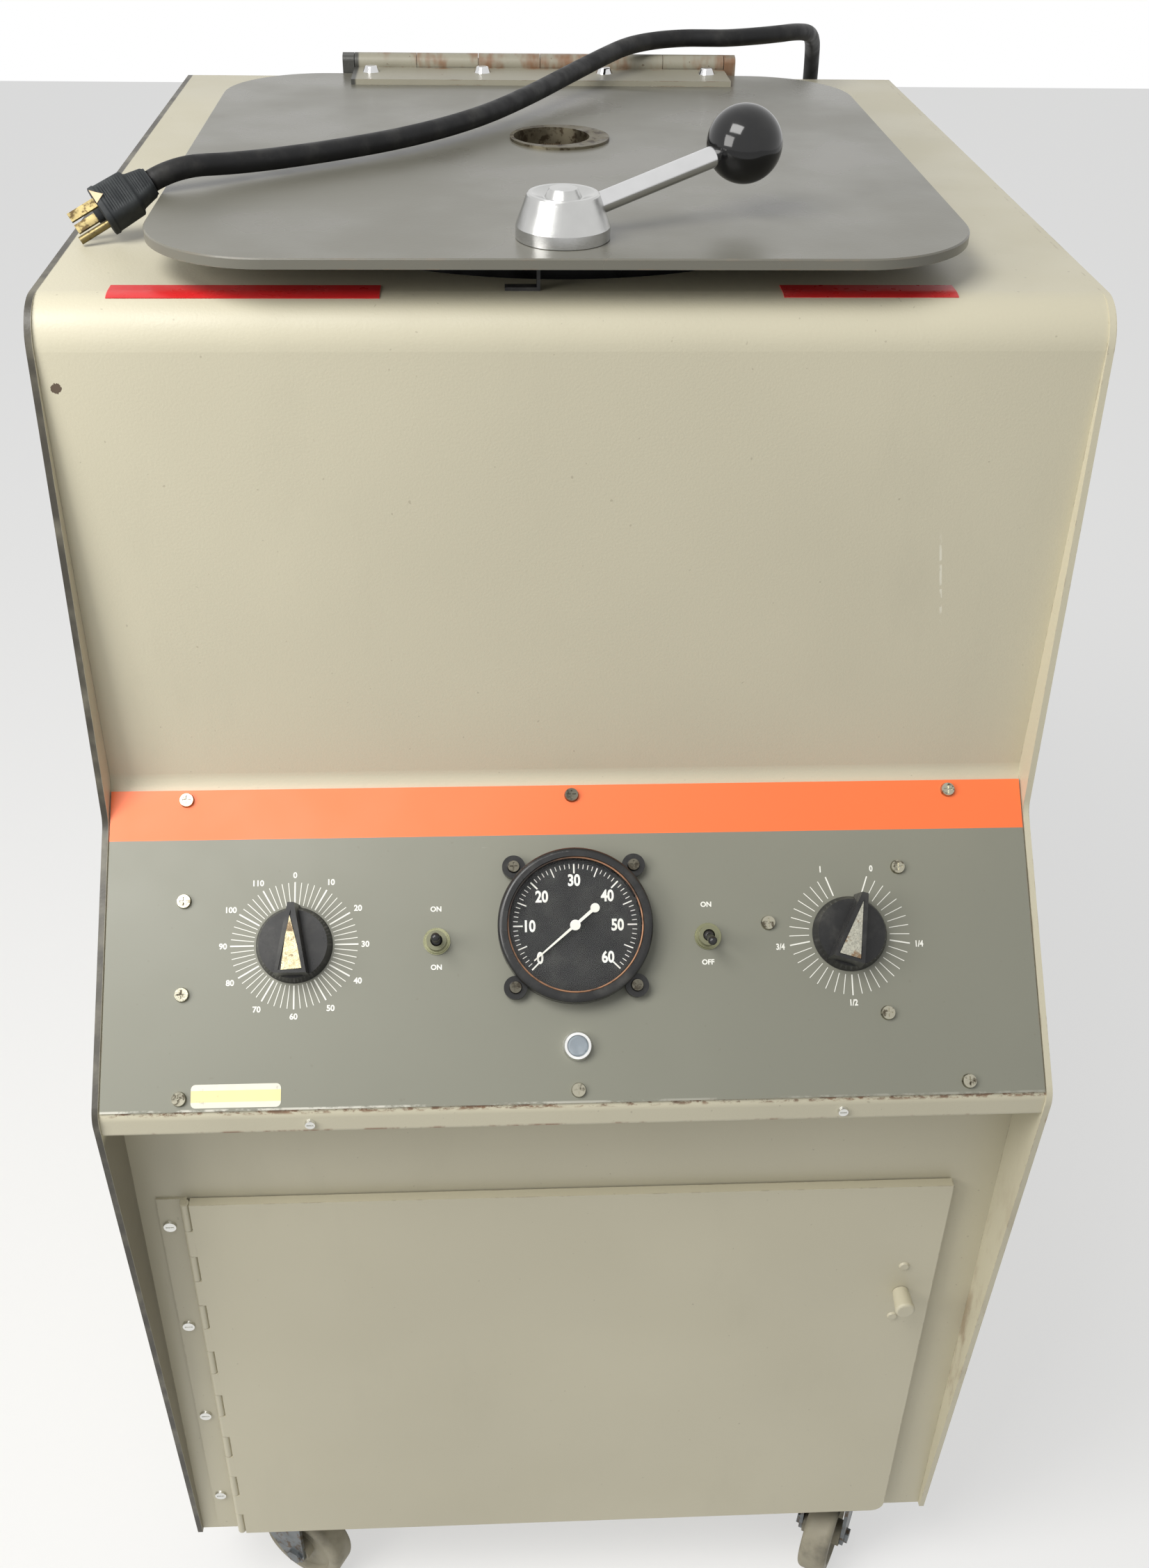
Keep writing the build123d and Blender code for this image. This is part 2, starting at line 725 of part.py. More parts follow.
def make_toggle_bat(name, place, tilt):
    """Bat handle on its ball; tilt is degrees up the desk from square."""
    pivot = desk_place(place, BAT_PIVOT)
    lean = Plane(origin=pivot.origin, x_dir=pivot.x_dir, z_dir=pivot.z_dir.rotate(Axis.X, -tilt))
    with BuildPart() as bat:
        with BuildSketch(lean):
            Circle(BAT_ROOT_R)
        with BuildSketch(lean.offset(BAT_LENGTH - BAT_TIP_R)):
            Circle(BAT_TIP_R)
        loft()
        with Locations(lean.offset(BAT_LENGTH - BAT_TIP_R)):
            Sphere(BAT_TIP_R)
        with Locations(pivot):
            Sphere(BAT_BALL_R)
    save(bat.part, name)


def make_gauge_case():
    """Bezel, lugged flange, rear body and the flat dial floor, with the spindle's bore."""
    seat = desk_place(GAUGE)
    glass_seat = GAUGE_RISE - GAUGE_GLASS_DROP - GAUGE_GLASS
    with BuildPart() as case:
        with BuildSketch(seat):
            Circle(GAUGE_R - 1.0)
            with Locations(*GAUGE_LUGS):
                Circle(LUG_R)
        extrude(amount=GAUGE_FLANGE)
        with BuildSketch(seat):
            with Locations(*GAUGE_LUGS):
                Circle(SCREW_SHANK_R)
        extrude(amount=GAUGE_FLANGE, mode=Mode.SUBTRACT)
        with BuildSketch(seat):
            Circle(GAUGE_R)
        extrude(amount=GAUGE_RISE)
        fillet(case.faces().sort_by(Axis(seat.origin, seat.z_dir))[-1].edges(), 3.0)
        with BuildSketch(seat):
            Circle(GAUGE_BODY_R)
        extrude(amount=-GAUGE_BODY_DEPTH)
        with BuildSketch(seat.offset(GAUGE_DIAL_RISE)):
            Circle(GAUGE_INNER_R - 1.5)
        extrude(amount=GAUGE_RISE, mode=Mode.SUBTRACT)
        with BuildSketch(seat.offset(glass_seat)):
            Circle(GAUGE_INNER_R)
        extrude(amount=GAUGE_RISE, mode=Mode.SUBTRACT)
        with BuildSketch(seat.offset(GAUGE_DIAL_RISE)):
            Circle(SPINDLE_R + RUN)
        extrude(amount=-SPINDLE, mode=Mode.SUBTRACT)
    save(case.part, "gauge_case")


def make_gauge_glass():
    with BuildPart() as glass:
        with BuildSketch(desk_place(GAUGE, GAUGE_RISE - GAUGE_GLASS_DROP - GAUGE_GLASS)):
            Circle(GAUGE_INNER_R - 0.05)
        extrude(amount=GAUGE_GLASS)
    save(glass.part, "gauge_glass")


def make_gauge_pointer():
    """Tapered needle with a round counterweight, on its spindle."""
    lift = GAUGE_DIAL_RISE + POINTER_LIFT
    plane = turned(desk_place(GAUGE, lift), -POINTER_REST)
    with BuildPart() as pointer:
        with BuildSketch(plane):
            with BuildLine():
                Polyline(
                    (0.4, POINTER_LENGTH),
                    (-0.4, POINTER_LENGTH),
                    (-1.1, -POINTER_TAIL),
                    (1.1, -POINTER_TAIL),
                    close=True,
                )
            make_face()
            Circle(POINTER_HUB_R)
            with Locations((0, -POINTER_TAIL)):
                Circle(3.0)
        extrude(amount=POINTER_THICK)
        with BuildSketch(plane):
            Circle(SPINDLE_R)
        extrude(amount=-(POINTER_LIFT + SPINDLE - CLEAR))
    save(pointer.part, "gauge_pointer")


def make_bowl():
    """Spun bowl that hangs by its rim on the top cover."""
    bore_r = SHAFT + 12.0
    with BuildPart() as bowl:
        with BuildSketch(Plane.XZ.offset(-BOWL_Y)):
            with BuildLine():
                Polyline(
                    (LID_X + bore_r, BOWL_FLOOR),
                    (LID_X + BOWL_R + BOWL_WALL, BOWL_FLOOR),
                    (LID_X + BOWL_R + BOWL_WALL, TOP),
                    (LID_X + RIM_R, TOP),
                    (LID_X + RIM_R, TOP + RIM_RISE),
                    (LID_X + BOWL_R, TOP + RIM_RISE),
                    (LID_X + BOWL_R, BOWL_FLOOR + BOWL_WALL),
                    (LID_X + bore_r, BOWL_FLOOR + BOWL_WALL),
                    close=True,
                )
            make_face()
        revolve(axis=Axis((LID_X, BOWL_Y, 0), (0, 0, 1)))
    save(bowl.part, "chamber_bowl")


def make_gasket():
    with BuildPart() as gasket:
        with BuildSketch(Plane.XY.offset(TOP + RIM_RISE)):
            with Locations((LID_X, BOWL_Y)):
                Circle(GASKET_R)
                Circle(GASKET_INNER_R, mode=Mode.SUBTRACT)
        extrude(amount=GASKET)
        fillet(gasket.faces().sort_by(Axis.Z)[-1].edges().sort_by(SortBy.LENGTH)[-1], 3.0)
    save(gasket.part, "chamber_gasket")


def sight_place():
    """Centre of the sight hole's bore, as (x, y)."""
    return LID_X + SIGHT_X, BOWL_Y + SIGHT_SETBACK


def make_lid():
    with BuildPart() as lid:
        with BuildSketch(Plane.XY.offset(LID_BOTTOM)):
            with Locations((LID_X, BOWL_Y)):
                RectangleRounded(LID_WIDTH, LID_DEPTH, LID_CORNER)
            with Locations(sight_place()):
                Circle(SIGHT_BORE_R + SIGHT_WALL, mode=Mode.SUBTRACT)
            with Locations((LID_X, LATCH_Y)):
                Circle(LATCH_SHAFT_R + RUN, mode=Mode.SUBTRACT)
        extrude(amount=LID)
        chamfer(lid.faces().sort_by(Axis.Z)[-1].outer_wire().edges(), 0.8)
    save(lid.part, "lid")


def make_sight_ring():
    """Low flanged bushing in the lid, its flange set to one side of its bore."""
    centre = sight_place()
    with BuildPart() as ring:
        with BuildSketch(Plane.XY.offset(LID_TOP)):
            with Locations((centre[0] + SIGHT_SHIFT, centre[1])):
                Circle(SIGHT_R)
        extrude(amount=SIGHT_RISE)
        with BuildSketch(Plane.XY.offset(LID_TOP)):
            with Locations(centre):
                Circle(SIGHT_BORE_R + SIGHT_WALL - RUN)
        extrude(amount=-SIGHT_DEPTH)
        with BuildSketch(Plane.XY.offset(LID_TOP + SIGHT_RISE)):
            with Locations(centre):
                Circle(SIGHT_BORE_R)
        extrude(amount=-SIGHT_DEPTH - SIGHT_RISE, mode=Mode.SUBTRACT)
    save(ring.part, "sight_ring")


def make_sight_screen():
    with BuildPart() as screen:
        with BuildSketch(Plane.XY.offset(LID_TOP - SIGHT_DEPTH)):
            with Locations(sight_place()):
                Circle(SIGHT_BORE_R + SIGHT_WALL - RUN)
        extrude(amount=-SIGHT_SCREEN)
    save(screen.part, "sight_screen")


def hinge_spans(keep):
    """Start and end of every second knuckle along X, from the left end."""
    step = HINGE_LENGTH / KNUCKLES
    left = HINGE_X - HINGE_LENGTH / 2
    return [(left + i * step, left + (i + 1) * step) for i in range(KNUCKLES) if i % 2 == keep]


def knuckles(keep):
    """Barrel segments of one hinge half."""
    with BuildPart() as barrel:
        for start, end in hinge_spans(keep):
            with BuildSketch(Plane.YZ.offset(start + SIDE_PLAY / 2)):
                with Locations((HINGE_Y, HINGE_Z)):
                    Circle(BARREL_R)
            extrude(amount=end - start - SIDE_PLAY)
    return barrel.part


def hinge_bore(radius):
    """The pin's round space, or the pin itself, from cheek to cheek."""
    half = HINGE_LENGTH / 2 + CLEAR + CHEEK
    with BuildPart() as bore:
        with BuildSketch(Plane.YZ.offset(HINGE_X - half)):
            with Locations((HINGE_Y, HINGE_Z)):
                Circle(radius)
        extrude(amount=2 * half)
    return bore.part


def make_lid_hinge_leaf():
    leaf_front = BOWL_Y + LID_DEPTH / 2 - LEAF_FRONT
    leaf_back = HINGE_Y - BARREL_R - CLEAR
    with BuildPart() as leaf:
        with BuildSketch(Plane.XY.offset(LID_TOP)):
            with Locations((HINGE_X, (leaf_front + leaf_back) / 2)):
                Rectangle(HINGE_LENGTH, leaf_back - leaf_front)
        extrude(amount=LEAF)
        for start, end in hinge_spans(0):
            with BuildSketch(Plane.YZ.offset(start + SIDE_PLAY / 2)):
                with Locations((leaf_back, LID_TOP + LEAF / 2)):
                    Rectangle(2 * BARREL_R, LEAF)
            extrude(amount=end - start - SIDE_PLAY)
        add(knuckles(0))
        add(hinge_bore(PIN_R + RUN), mode=Mode.SUBTRACT)
        with BuildSketch(Plane.XY.offset(LID_TOP)):
            with Locations(*[(LID_X + x, HINGE_Y - LEAF_SCREW_Y) for x in LEAF_SCREWS]):
                Circle(SCREW_SHANK_R)
        extrude(amount=LEAF, mode=Mode.SUBTRACT)
    save(leaf.part, "lid_hinge_leaf")


def make_lid_hinge_base():
    """Riser behind the lid: foot on the cover, upright web, fixed knuckles, end cheeks, and the pin."""
    web_front = HINGE_Y + WEB_GAP
    web_back = web_front + WEB
    web_top = HINGE_Z - BARREL_R - WEB_GAP
    left = HINGE_X - HINGE_LENGTH / 2
    with BuildPart() as base:
        with BuildSketch(Plane.YZ.offset(left)):
            with BuildLine():
                Polyline(
                    (web_front, TOP),
                    (web_front + FOOT, TOP),
                    (web_front + FOOT, TOP + FOOT_THICK),
                    (web_back, TOP + FOOT_THICK),
                    (web_back, web_top),
                    (web_front, web_top),
                    close=True,
                )
            make_face()
        extrude(amount=HINGE_LENGTH)
        for start, end in hinge_spans(1):
            with BuildSketch(Plane.YZ.offset(start + SIDE_PLAY / 2)):
                with Locations((web_front + WEB / 2, (web_top + HINGE_Z) / 2)):
                    Rectangle(WEB, HINGE_Z - web_top)
            extrude(amount=end - start - SIDE_PLAY)
        add(knuckles(1))
        for start in (left - CHEEK - CLEAR, left + HINGE_LENGTH + CLEAR):
            with BuildSketch(Plane.YZ.offset(start)):
                with BuildLine():
                    FilletPolyline(
                        (web_back + WEB, TOP),
                        (web_back + WEB, HINGE_Z),
                        (HINGE_Y + 2.0, HINGE_Z + BARREL_R),
                        (HINGE_Y - BARREL_R, HINGE_Z + BARREL_R - 2.0),
                        (HINGE_Y - BARREL_R, TOP),
                        radius=[0, 4.0, 4.0, 4.0, 0],
                        close=True,
                    )
                make_face()
            extrude(amount=CHEEK)
        with BuildSketch(Plane.YZ.offset(left - CLEAR)):
            with Locations((web_front + WEB / 2, (TOP + web_top) / 2)):
                Rectangle(WEB, web_top - TOP)
        extrude(amount=HINGE_LENGTH + 2 * CLEAR)
        add(hinge_bore(PIN_R + RUN), mode=Mode.SUBTRACT)
        add(hinge_bore(PIN_R))
    save(base.part, "lid_hinge_base")


def make_lid_hinge_screws():
    """Dome-head screws of the leaf."""
    with BuildPart() as screws:
        for x in LEAF_SCREWS:
            seat = Plane(origin=(LID_X + x, HINGE_Y - LEAF_SCREW_Y, LID_TOP + LEAF), z_dir=(0, 0, 1))
            with BuildSketch(seat):
                Circle(SCREW_SHANK_R - RUN)
            extrude(amount=-LEAF)
            with BuildSketch(seat):
                Circle(DOME_R)
            extrude(amount=DOME, taper=24)
        fillet(screws.faces().group_by(Axis.Z)[-1].edges(), 1.5)
    save(screws.part, "lid_hinge_screws")


LATCH = turned(Plane(origin=(LID_X, LATCH_Y, LID_TOP), x_dir=(1, 0, 0), z_dir=(0, 0, 1)), LEVER_ANGLE)
ROD_SLOPE = atan2(BALL_Z - LEVER_Z, LEVER_REACH)
ROD_ALONG = LATCH.x_dir * cos(ROD_SLOPE) + LATCH.z_dir * sin(ROD_SLOPE)
BALL_REACH = LEVER_REACH / cos(ROD_SLOPE)


def rod_plane(reach):
    """Plane across the lever rod at a distance along it from the hub's axis."""
    start = LATCH.origin + LATCH.z_dir * LEVER_Z
    return Plane(origin=start + ROD_ALONG * reach, x_dir=LATCH.y_dir, z_dir=ROD_ALONG)


def rod_solid(radius):
    """The lever's straight rod, from inside the hub to inside the ball."""
    start = HUB_TOP_R / 2
    with BuildPart() as rod:
        with BuildSketch(rod_plane(start)):
            Circle(radius)
        extrude(amount=BALL_REACH - BALL_R / 2 - start)
    return rod.part


def make_latch_hub():
    """Turned hub: cylindrical foot, cone and dished top, with its domed nut as a separate solid."""
    dish = HUB_HEIGHT - HUB_DISH
    with BuildPart() as hub:
        with BuildSketch(Plane(origin=LATCH.origin, x_dir=LATCH.x_dir, z_dir=-LATCH.y_dir)):
            with BuildLine():
                Polyline(
                    (0, CLEAR),
                    (HUB_BASE_R, CLEAR),
                    (HUB_BASE_R, HUB_BAND),
                    (HUB_TOP_R + 0.8, HUB_HEIGHT - 0.8),
                    (HUB_TOP_R, HUB_HEIGHT),
                    (HUB_TOP_R - 2.0, HUB_HEIGHT),
                    (NUT_R + 1.0, dish),
                    (0, dish),
                    close=True,
                )
            make_face()
        revolve(axis=Axis(LATCH.origin, LATCH.z_dir))
        add(rod_solid(ROD_R), mode=Mode.SUBTRACT)
        with BuildSketch(LATCH.offset(dish)):
            Circle(NUT_R)
        extrude(amount=NUT_DOME, taper=30)
    save(hub.part, "latch_hub")


def make_lever_rod():
    save(rod_solid(ROD_R), "lever_rod")


def make_ball_knob():
    with BuildPart() as ball:
        with Locations(rod_plane(BALL_REACH)):
            Sphere(BALL_R)
        add(rod_solid(ROD_R), mode=Mode.SUBTRACT)
    save(ball.part, "ball_knob")


def make_latch_cam():
    """Shaft through the lid, with the cam arm under it that turns forward beneath the keeper."""
    bottom = LID_BOTTOM - CAM_DROP - CAM
    with BuildPart() as cam:
        with BuildSketch(Plane.XY.offset(bottom)):
            with Locations((LID_X, LATCH_Y)):
                Circle(LATCH_SHAFT_R)
        extrude(amount=LID_TOP + CLEAR - bottom)
        with BuildSketch(Plane.XY.offset(bottom)):
            with Locations((LID_X + (CAM_REACH - CAM_WIDTH / 2) / 2, LATCH_Y)):
                RectangleRounded(CAM_REACH + CAM_WIDTH / 2, CAM_WIDTH, 4.0)
        extrude(amount=CAM)
    save(cam.part, "latch_cam")


def make_latch_keeper():
    """Bent bracket on the cover: foot, upright and the lip that the cam turns under."""
    lip_bottom = LID_BOTTOM - CAM_DROP + KEEPER_GAP
    web_x = LID_X - CAM_WIDTH / 2 - 4 * KEEPER
    front = UPPER_Y + TOP_BEND
    with BuildPart() as keeper:
        with BuildSketch(Plane.XZ.offset(-front)):
            with BuildLine():
                Polyline(
                    (web_x - KEEPER_FOOT, TOP),
                    (web_x, TOP),
                    (web_x, lip_bottom),
                    (LID_X + CAM_WIDTH / 2 + KEEPER, lip_bottom),
                    (LID_X + CAM_WIDTH / 2 + KEEPER, lip_bottom + KEEPER),
                    (web_x - KEEPER, lip_bottom + KEEPER),
                    (web_x - KEEPER, TOP + KEEPER),
                    (web_x - KEEPER_FOOT, TOP + KEEPER),
                    close=True,
                )
            make_face()
        extrude(amount=-KEEPER_DEPTH)
    save(keeper.part, "latch_keeper")


def make_shaft():
    """Motor shaft up through the bowl, with the nut that holds the rotor head."""
    root = MOTOR_BOTTOM + SHAFT_ROOT
    nut_z = HEAD_Z + HEAD + HEAD_HUB
    with BuildPart() as shaft:
        with BuildSketch(Plane.XY.offset(root)):
            with Locations((LID_X, BOWL_Y)):
                Circle(SHAFT)
        extrude(amount=HEAD_Z - root)
        with BuildSketch(Plane.XY.offset(HEAD_Z)):
            with Locations((LID_X, BOWL_Y)):
                Circle(SHAFT - SHOULDER)
        extrude(amount=HEAD + HEAD_HUB)
        with BuildSketch(Plane.XY.offset(nut_z)):
            with Locations((LID_X, BOWL_Y)):
                RegularPolygon(14.0, 6)
        extrude(amount=10.0)
        with BuildSketch(Plane.XY.offset(nut_z + 10.0)):
            with Locations((LID_X, BOWL_Y)):
                Circle(9.0)
        extrude(amount=4.0)
    save(shaft.part, "rotor_shaft")


def bucket_angle(index):
    return 45.0 + index * 360.0 / BUCKETS


def bucket_plane(index):
    """Plane at a bucket's pivot: local x points outward, local z up."""
    turn = radians(bucket_angle(index))
    origin = (LID_X + PIVOT_R * cos(turn), BOWL_Y + PIVOT_R * sin(turn), HEAD_Z + HEAD / 2)
    return Plane(origin=origin, x_dir=(cos(turn), sin(turn), 0), z_dir=(0, 0, 1))


def make_head():
    """Rotor head: a thick disc with a pocket and two trunnion holes for each bucket."""
    with BuildPart() as head:
        with BuildSketch(Plane.XY.offset(HEAD_Z)):
            with Locations((LID_X, BOWL_Y)):
                Circle(HEAD_R)
        extrude(amount=HEAD)
        with BuildSketch(Plane.XY.offset(HEAD_Z + HEAD)):
            with Locations((LID_X, BOWL_Y)):
                Circle(HEAD_HUB_R)
        extrude(amount=HEAD_HUB, taper=8)
        with BuildSketch(Plane.XY.offset(HEAD_Z)):
            with Locations((LID_X, BOWL_Y)):
                Circle(SHAFT - SHOULDER)
        extrude(amount=HEAD + HEAD_HUB, mode=Mode.SUBTRACT)
        for index in range(BUCKETS):
            place = bucket_plane(index)
            with BuildSketch(place.offset(-HEAD)):
                with Locations((POCKET_ROOT_R - PIVOT_R + HEAD_R / 2, 0)):
                    RectangleRounded(HEAD_R, POCKET_WIDTH, 12.0)
            extrude(amount=2 * HEAD, mode=Mode.SUBTRACT)
            across = Plane(origin=place.origin, x_dir=place.x_dir, z_dir=place.y_dir)
            with BuildSketch(across.offset(-POCKET_WIDTH / 2 - TRUNNION)):
                Circle(TRUNNION_R + RUN)
            extrude(amount=POCKET_WIDTH + 2 * TRUNNION, mode=Mode.SUBTRACT)
    save(head.part, "rotor_head")


def make_bucket(index):
    """Open cup with a thick collar and a trunnion on each side."""
    place = bucket_plane(index)
    across = Plane(origin=place.origin, x_dir=place.x_dir, z_dir=place.y_dir)
    reach = POCKET_WIDTH / 2 + TRUNNION - SIDE_PLAY
    with BuildPart() as bucket:
        with BuildSketch(place.offset(-BUCKET_BELOW)):
            Circle(BUCKET_R)
        extrude(amount=BUCKET_BELOW + BUCKET_ABOVE)
        fillet(bucket.faces().sort_by(Axis.Z)[0].edges(), BUCKET_ROUND)
        with BuildSketch(place.offset(BUCKET_ABOVE - BUCKET_COLLAR)):
            Circle(BUCKET_COLLAR_R)
        extrude(amount=BUCKET_COLLAR)
        with BuildSketch(across.offset(-reach)):
            Circle(TRUNNION_R)
        extrude(amount=2 * reach)
        with BuildSketch(place.offset(BUCKET_BASE - BUCKET_BELOW)):
            Circle(BUCKET_R - BUCKET_WALL)
        extrude(amount=BUCKET_BELOW + BUCKET_ABOVE, mode=Mode.SUBTRACT)
    save(bucket.part, f"bucket_{index + 1}")


def make_motor():
    """Motor can with its mounting flange, shaft boss and brush caps, and the shaft's bore."""
    with BuildPart() as motor:
        with BuildSketch(Plane.XY.offset(MOTOR_BOTTOM)):
            with Locations((LID_X, BOWL_Y)):
                Circle(MOTOR_R)
        extrude(amount=MOTOR_BODY)
        fillet(motor.edges().filter_by(GeomType.CIRCLE), 12.0)
        with BuildSketch(Plane.XY.offset(MOTOR_TOP - 1.0)):
            with Locations((LID_X, BOWL_Y)):
                Circle(MOTOR_BOSS_R)
        extrude(amount=MOTOR_BOSS + 1.0, taper=6)
        with BuildSketch(Plane.XY.offset(FLANGE_Z)):
            with Locations((LID_X, BOWL_Y)):
                Circle(MOTOR_FLANGE_R)
        extrude(amount=MOTOR_FLANGE)
        for side in (-1, 1):
            cap = Plane(origin=(LID_X, BOWL_Y, MOTOR_BOTTOM + BRUSH_RISE), x_dir=(0, 1, 0), z_dir=(side, 0, 0))
            with BuildSketch(cap.offset(MOTOR_R - BRUSH_PROUD)):
                Circle(BRUSH_R)
            extrude(amount=2 * BRUSH_PROUD)
        with BuildSketch(Plane.XY.offset(MOTOR_BOTTOM + SHAFT_ROOT - CLEAR)):
            with Locations((LID_X, BOWL_Y)):
                Circle(SHAFT + RUN)
        extrude(amount=MOTOR_BODY, mode=Mode.SUBTRACT)
    save(motor.part, "motor")


def mount_places():
    """The three mounts' centres about the motor, as (x, y)."""
    turns = [radians(90.0 + i * 120.0) for i in range(3)]
    return [(LID_X + MOUNT_CIRCLE * cos(t), BOWL_Y + MOUNT_CIRCLE * sin(t)) for t in turns]


def make_motor_mounts():
    with BuildPart() as mounts:
        with BuildSketch(Plane.XY.offset(FLANGE_Z)):
            with Locations(*mount_places()):
                Circle(MOUNT_R)
        extrude(amount=-MOUNT)
    save(mounts.part, "motor_mounts")


def make_motor_shelf():
    """Cross shelf between the side panels, with a clearance hole for the motor and turned-down edges."""
    shelf_top = FLANGE_Z - MOUNT
    middle = (SHELF_FRONT + SHELF_BACK) / 2
    depth = SHELF_BACK - SHELF_FRONT
    with BuildPart() as shelf:
        with BuildSketch(Plane.XY.offset(shelf_top)):
            with Locations((0, middle)):
                Rectangle(2 * SHEET_X, depth)
        extrude(amount=-SHELF_FLANGE)
        with BuildSketch(Plane.XY.offset(shelf_top - SHELF)):
            with Locations((0, middle)):
                Rectangle(2 * (SHEET_X - SHELF), depth - 2 * SHELF)
        extrude(amount=-SHELF_FLANGE, mode=Mode.SUBTRACT)
        with BuildSketch(Plane.XY.offset(shelf_top)):
            with Locations((LID_X, BOWL_Y)):
                Circle(MOTOR_R + SHELF_CLEAR)
        extrude(amount=-SHELF, mode=Mode.SUBTRACT)
    save(shelf.part, "motor_shelf")


def door_spans(keep):
    """Start and end of every second knuckle up the door's piano hinge."""
    step = (DOOR_TOP - DOOR_BOTTOM) / DOOR_KNUCKLES
    return [(DOOR_BOTTOM + i * step, DOOR_BOTTOM + (i + 1) * step) for i in range(DOOR_KNUCKLES) if i % 2 == keep]


def door_knuckles(keep, web):
    """Barrel segments of one half of the piano hinge, each with the web that ties it to its leaf."""
    with BuildPart() as barrel:
        for start, end in door_spans(keep):
            with BuildSketch(Plane.XY.offset(start + SIDE_PLAY / 2)):
                with Locations(DOOR_AXIS):
                    Circle(DOOR_BARREL_R)
                with Locations((DOOR_AXIS[0] + web[0] / 2, DOOR_AXIS[1] + web[1] / 2)):
                    Rectangle(abs(web[0]), abs(web[1]))
            extrude(amount=end - start - SIDE_PLAY)
        add(door_pin(DOOR_PIN_R + RUN), mode=Mode.SUBTRACT)
    return barrel.part


def door_pin(radius):
    """The piano hinge's pin, or the round space for it."""
    with BuildPart() as pin:
        with BuildSketch(Plane.XY.offset(DOOR_BOTTOM)):
            with Locations(DOOR_AXIS):
                Circle(radius)
        extrude(amount=DOOR_TOP - DOOR_BOTTOM)
    return pin.part


def door_screw_places():
    return [(DOOR_LEFT - DOOR_LEAF + SCREW_HEAD_R + 2.0, BASE + z) for z in DOOR_SCREWS]


def make_door_hinge_leaf():
    """Fixed leaf of the piano hinge on the lower panel, with its knuckles and the pin."""
    half = (DOOR_TOP - DOOR_BOTTOM) / 2
    width = DOOR_LEAF + DOOR_SHEET
    with BuildPart() as leaf:
        with BuildSketch(Plane.XZ.offset(-LOWER_PANEL_Y)):
            with Locations((DOOR_LEFT - DOOR_LEAF + width / 2, DOOR_BOTTOM + half)):
                Rectangle(width, 2 * half)
            fillet(vertices().group_by(Axis.X)[0].sort_by(Axis.Z)[-1], DOOR_LEAF_CORNER)
        extrude(amount=DOOR_SHEET)
        with BuildSketch(Plane.XZ.offset(-LOWER_PANEL_Y)):
            with Locations(*door_screw_places()):
                Circle(SCREW_SHANK_R)
        extrude(amount=DOOR_SHEET, mode=Mode.SUBTRACT)
        add(door_knuckles(0, (-DOOR_BARREL_R, DOOR_BARREL_R + DOOR_SHEET / 2)))
        add(door_pin(DOOR_PIN_R))
    save(leaf.part, "door_hinge_leaf")


def make_door_hinge_screws():
    with BuildPart() as screws:
        for x, z in door_screw_places():
            face = Plane(origin=(x, LOWER_PANEL_Y - DOOR_SHEET, z), x_dir=(1, 0, 0), z_dir=(0, -1, 0))
            add(pan_screw(face, length=DOOR_SHEET, head=2.0, cross=False))
    save(screws.part, "door_hinge_screws")


def make_door():
    """Flanged pan with the moving knuckles on its left edge and two rivets beside the knob."""
    left = DOOR_LEFT + DOOR_BARREL_R + CLEAR
    middle = ((left + DOOR_RIGHT) / 2, (DOOR_TOP + DOOR_BOTTOM) / 2)
    size = (DOOR_RIGHT - left, DOOR_TOP - DOOR_BOTTOM)
    with BuildPart() as door:
        with BuildSketch(Plane.XZ.offset(-DOOR_FACE_Y)):
            with Locations(middle):
                Rectangle(*size)
            fillet(vertices().group_by(Axis.X)[-1].sort_by(Axis.Z)[-1], DOOR_CORNER)
        extrude(amount=-DOOR_DEPTH)
        with BuildSketch(Plane.XZ.offset(-DOOR_FACE_Y - DOOR_SHEET)):
            with Locations(middle):
                Rectangle(size[0] - 2 * DOOR_SHEET, size[1] - 2 * DOOR_SHEET)
            fillet(vertices().group_by(Axis.X)[-1].sort_by(Axis.Z)[-1], DOOR_CORNER - DOOR_SHEET)
        extrude(amount=-DOOR_DEPTH, mode=Mode.SUBTRACT)
        with BuildSketch(Plane.XZ.offset(-DOOR_FACE_Y)):
            with Locations((DOOR_KNOB[0], BASE + DOOR_KNOB[1])):
                Circle(SHAFT_R + RUN)
        extrude(amount=-DOOR_DEPTH, mode=Mode.SUBTRACT)
        add(door_knuckles(1, (DOOR_BARREL_R + CLEAR + DOOR_SHEET / 2, -DOOR_BARREL_R)))
        for x, z in DOOR_RIVETS:
            face = Plane(origin=(x, DOOR_FACE_Y, BASE + z), x_dir=(1, 0, 0), z_dir=(0, -1, 0))
            with BuildSketch(face):
                Circle(DOOR_RIVET_R)
            extrude(amount=1.4, taper=35)
    save(door.part, "door")


def make_door_knob():
    """Small pull knob whose stem carries the turn latch behind the door."""
    length, width, thick = DOOR_CAM
    place = (DOOR_KNOB[0], BASE + DOOR_KNOB[1])
    face = Plane(origin=(place[0], DOOR_FACE_Y - CLEAR, place[1]), x_dir=(1, 0, 0), z_dir=(0, -1, 0))
    cam_y = LOWER_PANEL_Y + SHEET + SIDE_PLAY
    with BuildPart() as knob:
        with BuildSketch(face):
            Circle(DOOR_KNOB_R - 1.5)
        with BuildSketch(face.offset(DOOR_KNOB_LENGTH)):
            Circle(DOOR_KNOB_R)
        loft()
        fillet(knob.faces().sort_by(Axis.Y)[0].edges(), 2.0)
        with BuildSketch(face):
            Circle(SHAFT_R)
        extrude(amount=-(cam_y + thick - DOOR_FACE_Y + CLEAR))
        with BuildSketch(Plane.XZ.offset(-cam_y)):
            with Locations((place[0], place[1] + length / 2 - width / 2)):
                RectangleRounded(width, length, 3.0)
        extrude(amount=-thick)
    save(knob.part, "door_knob")


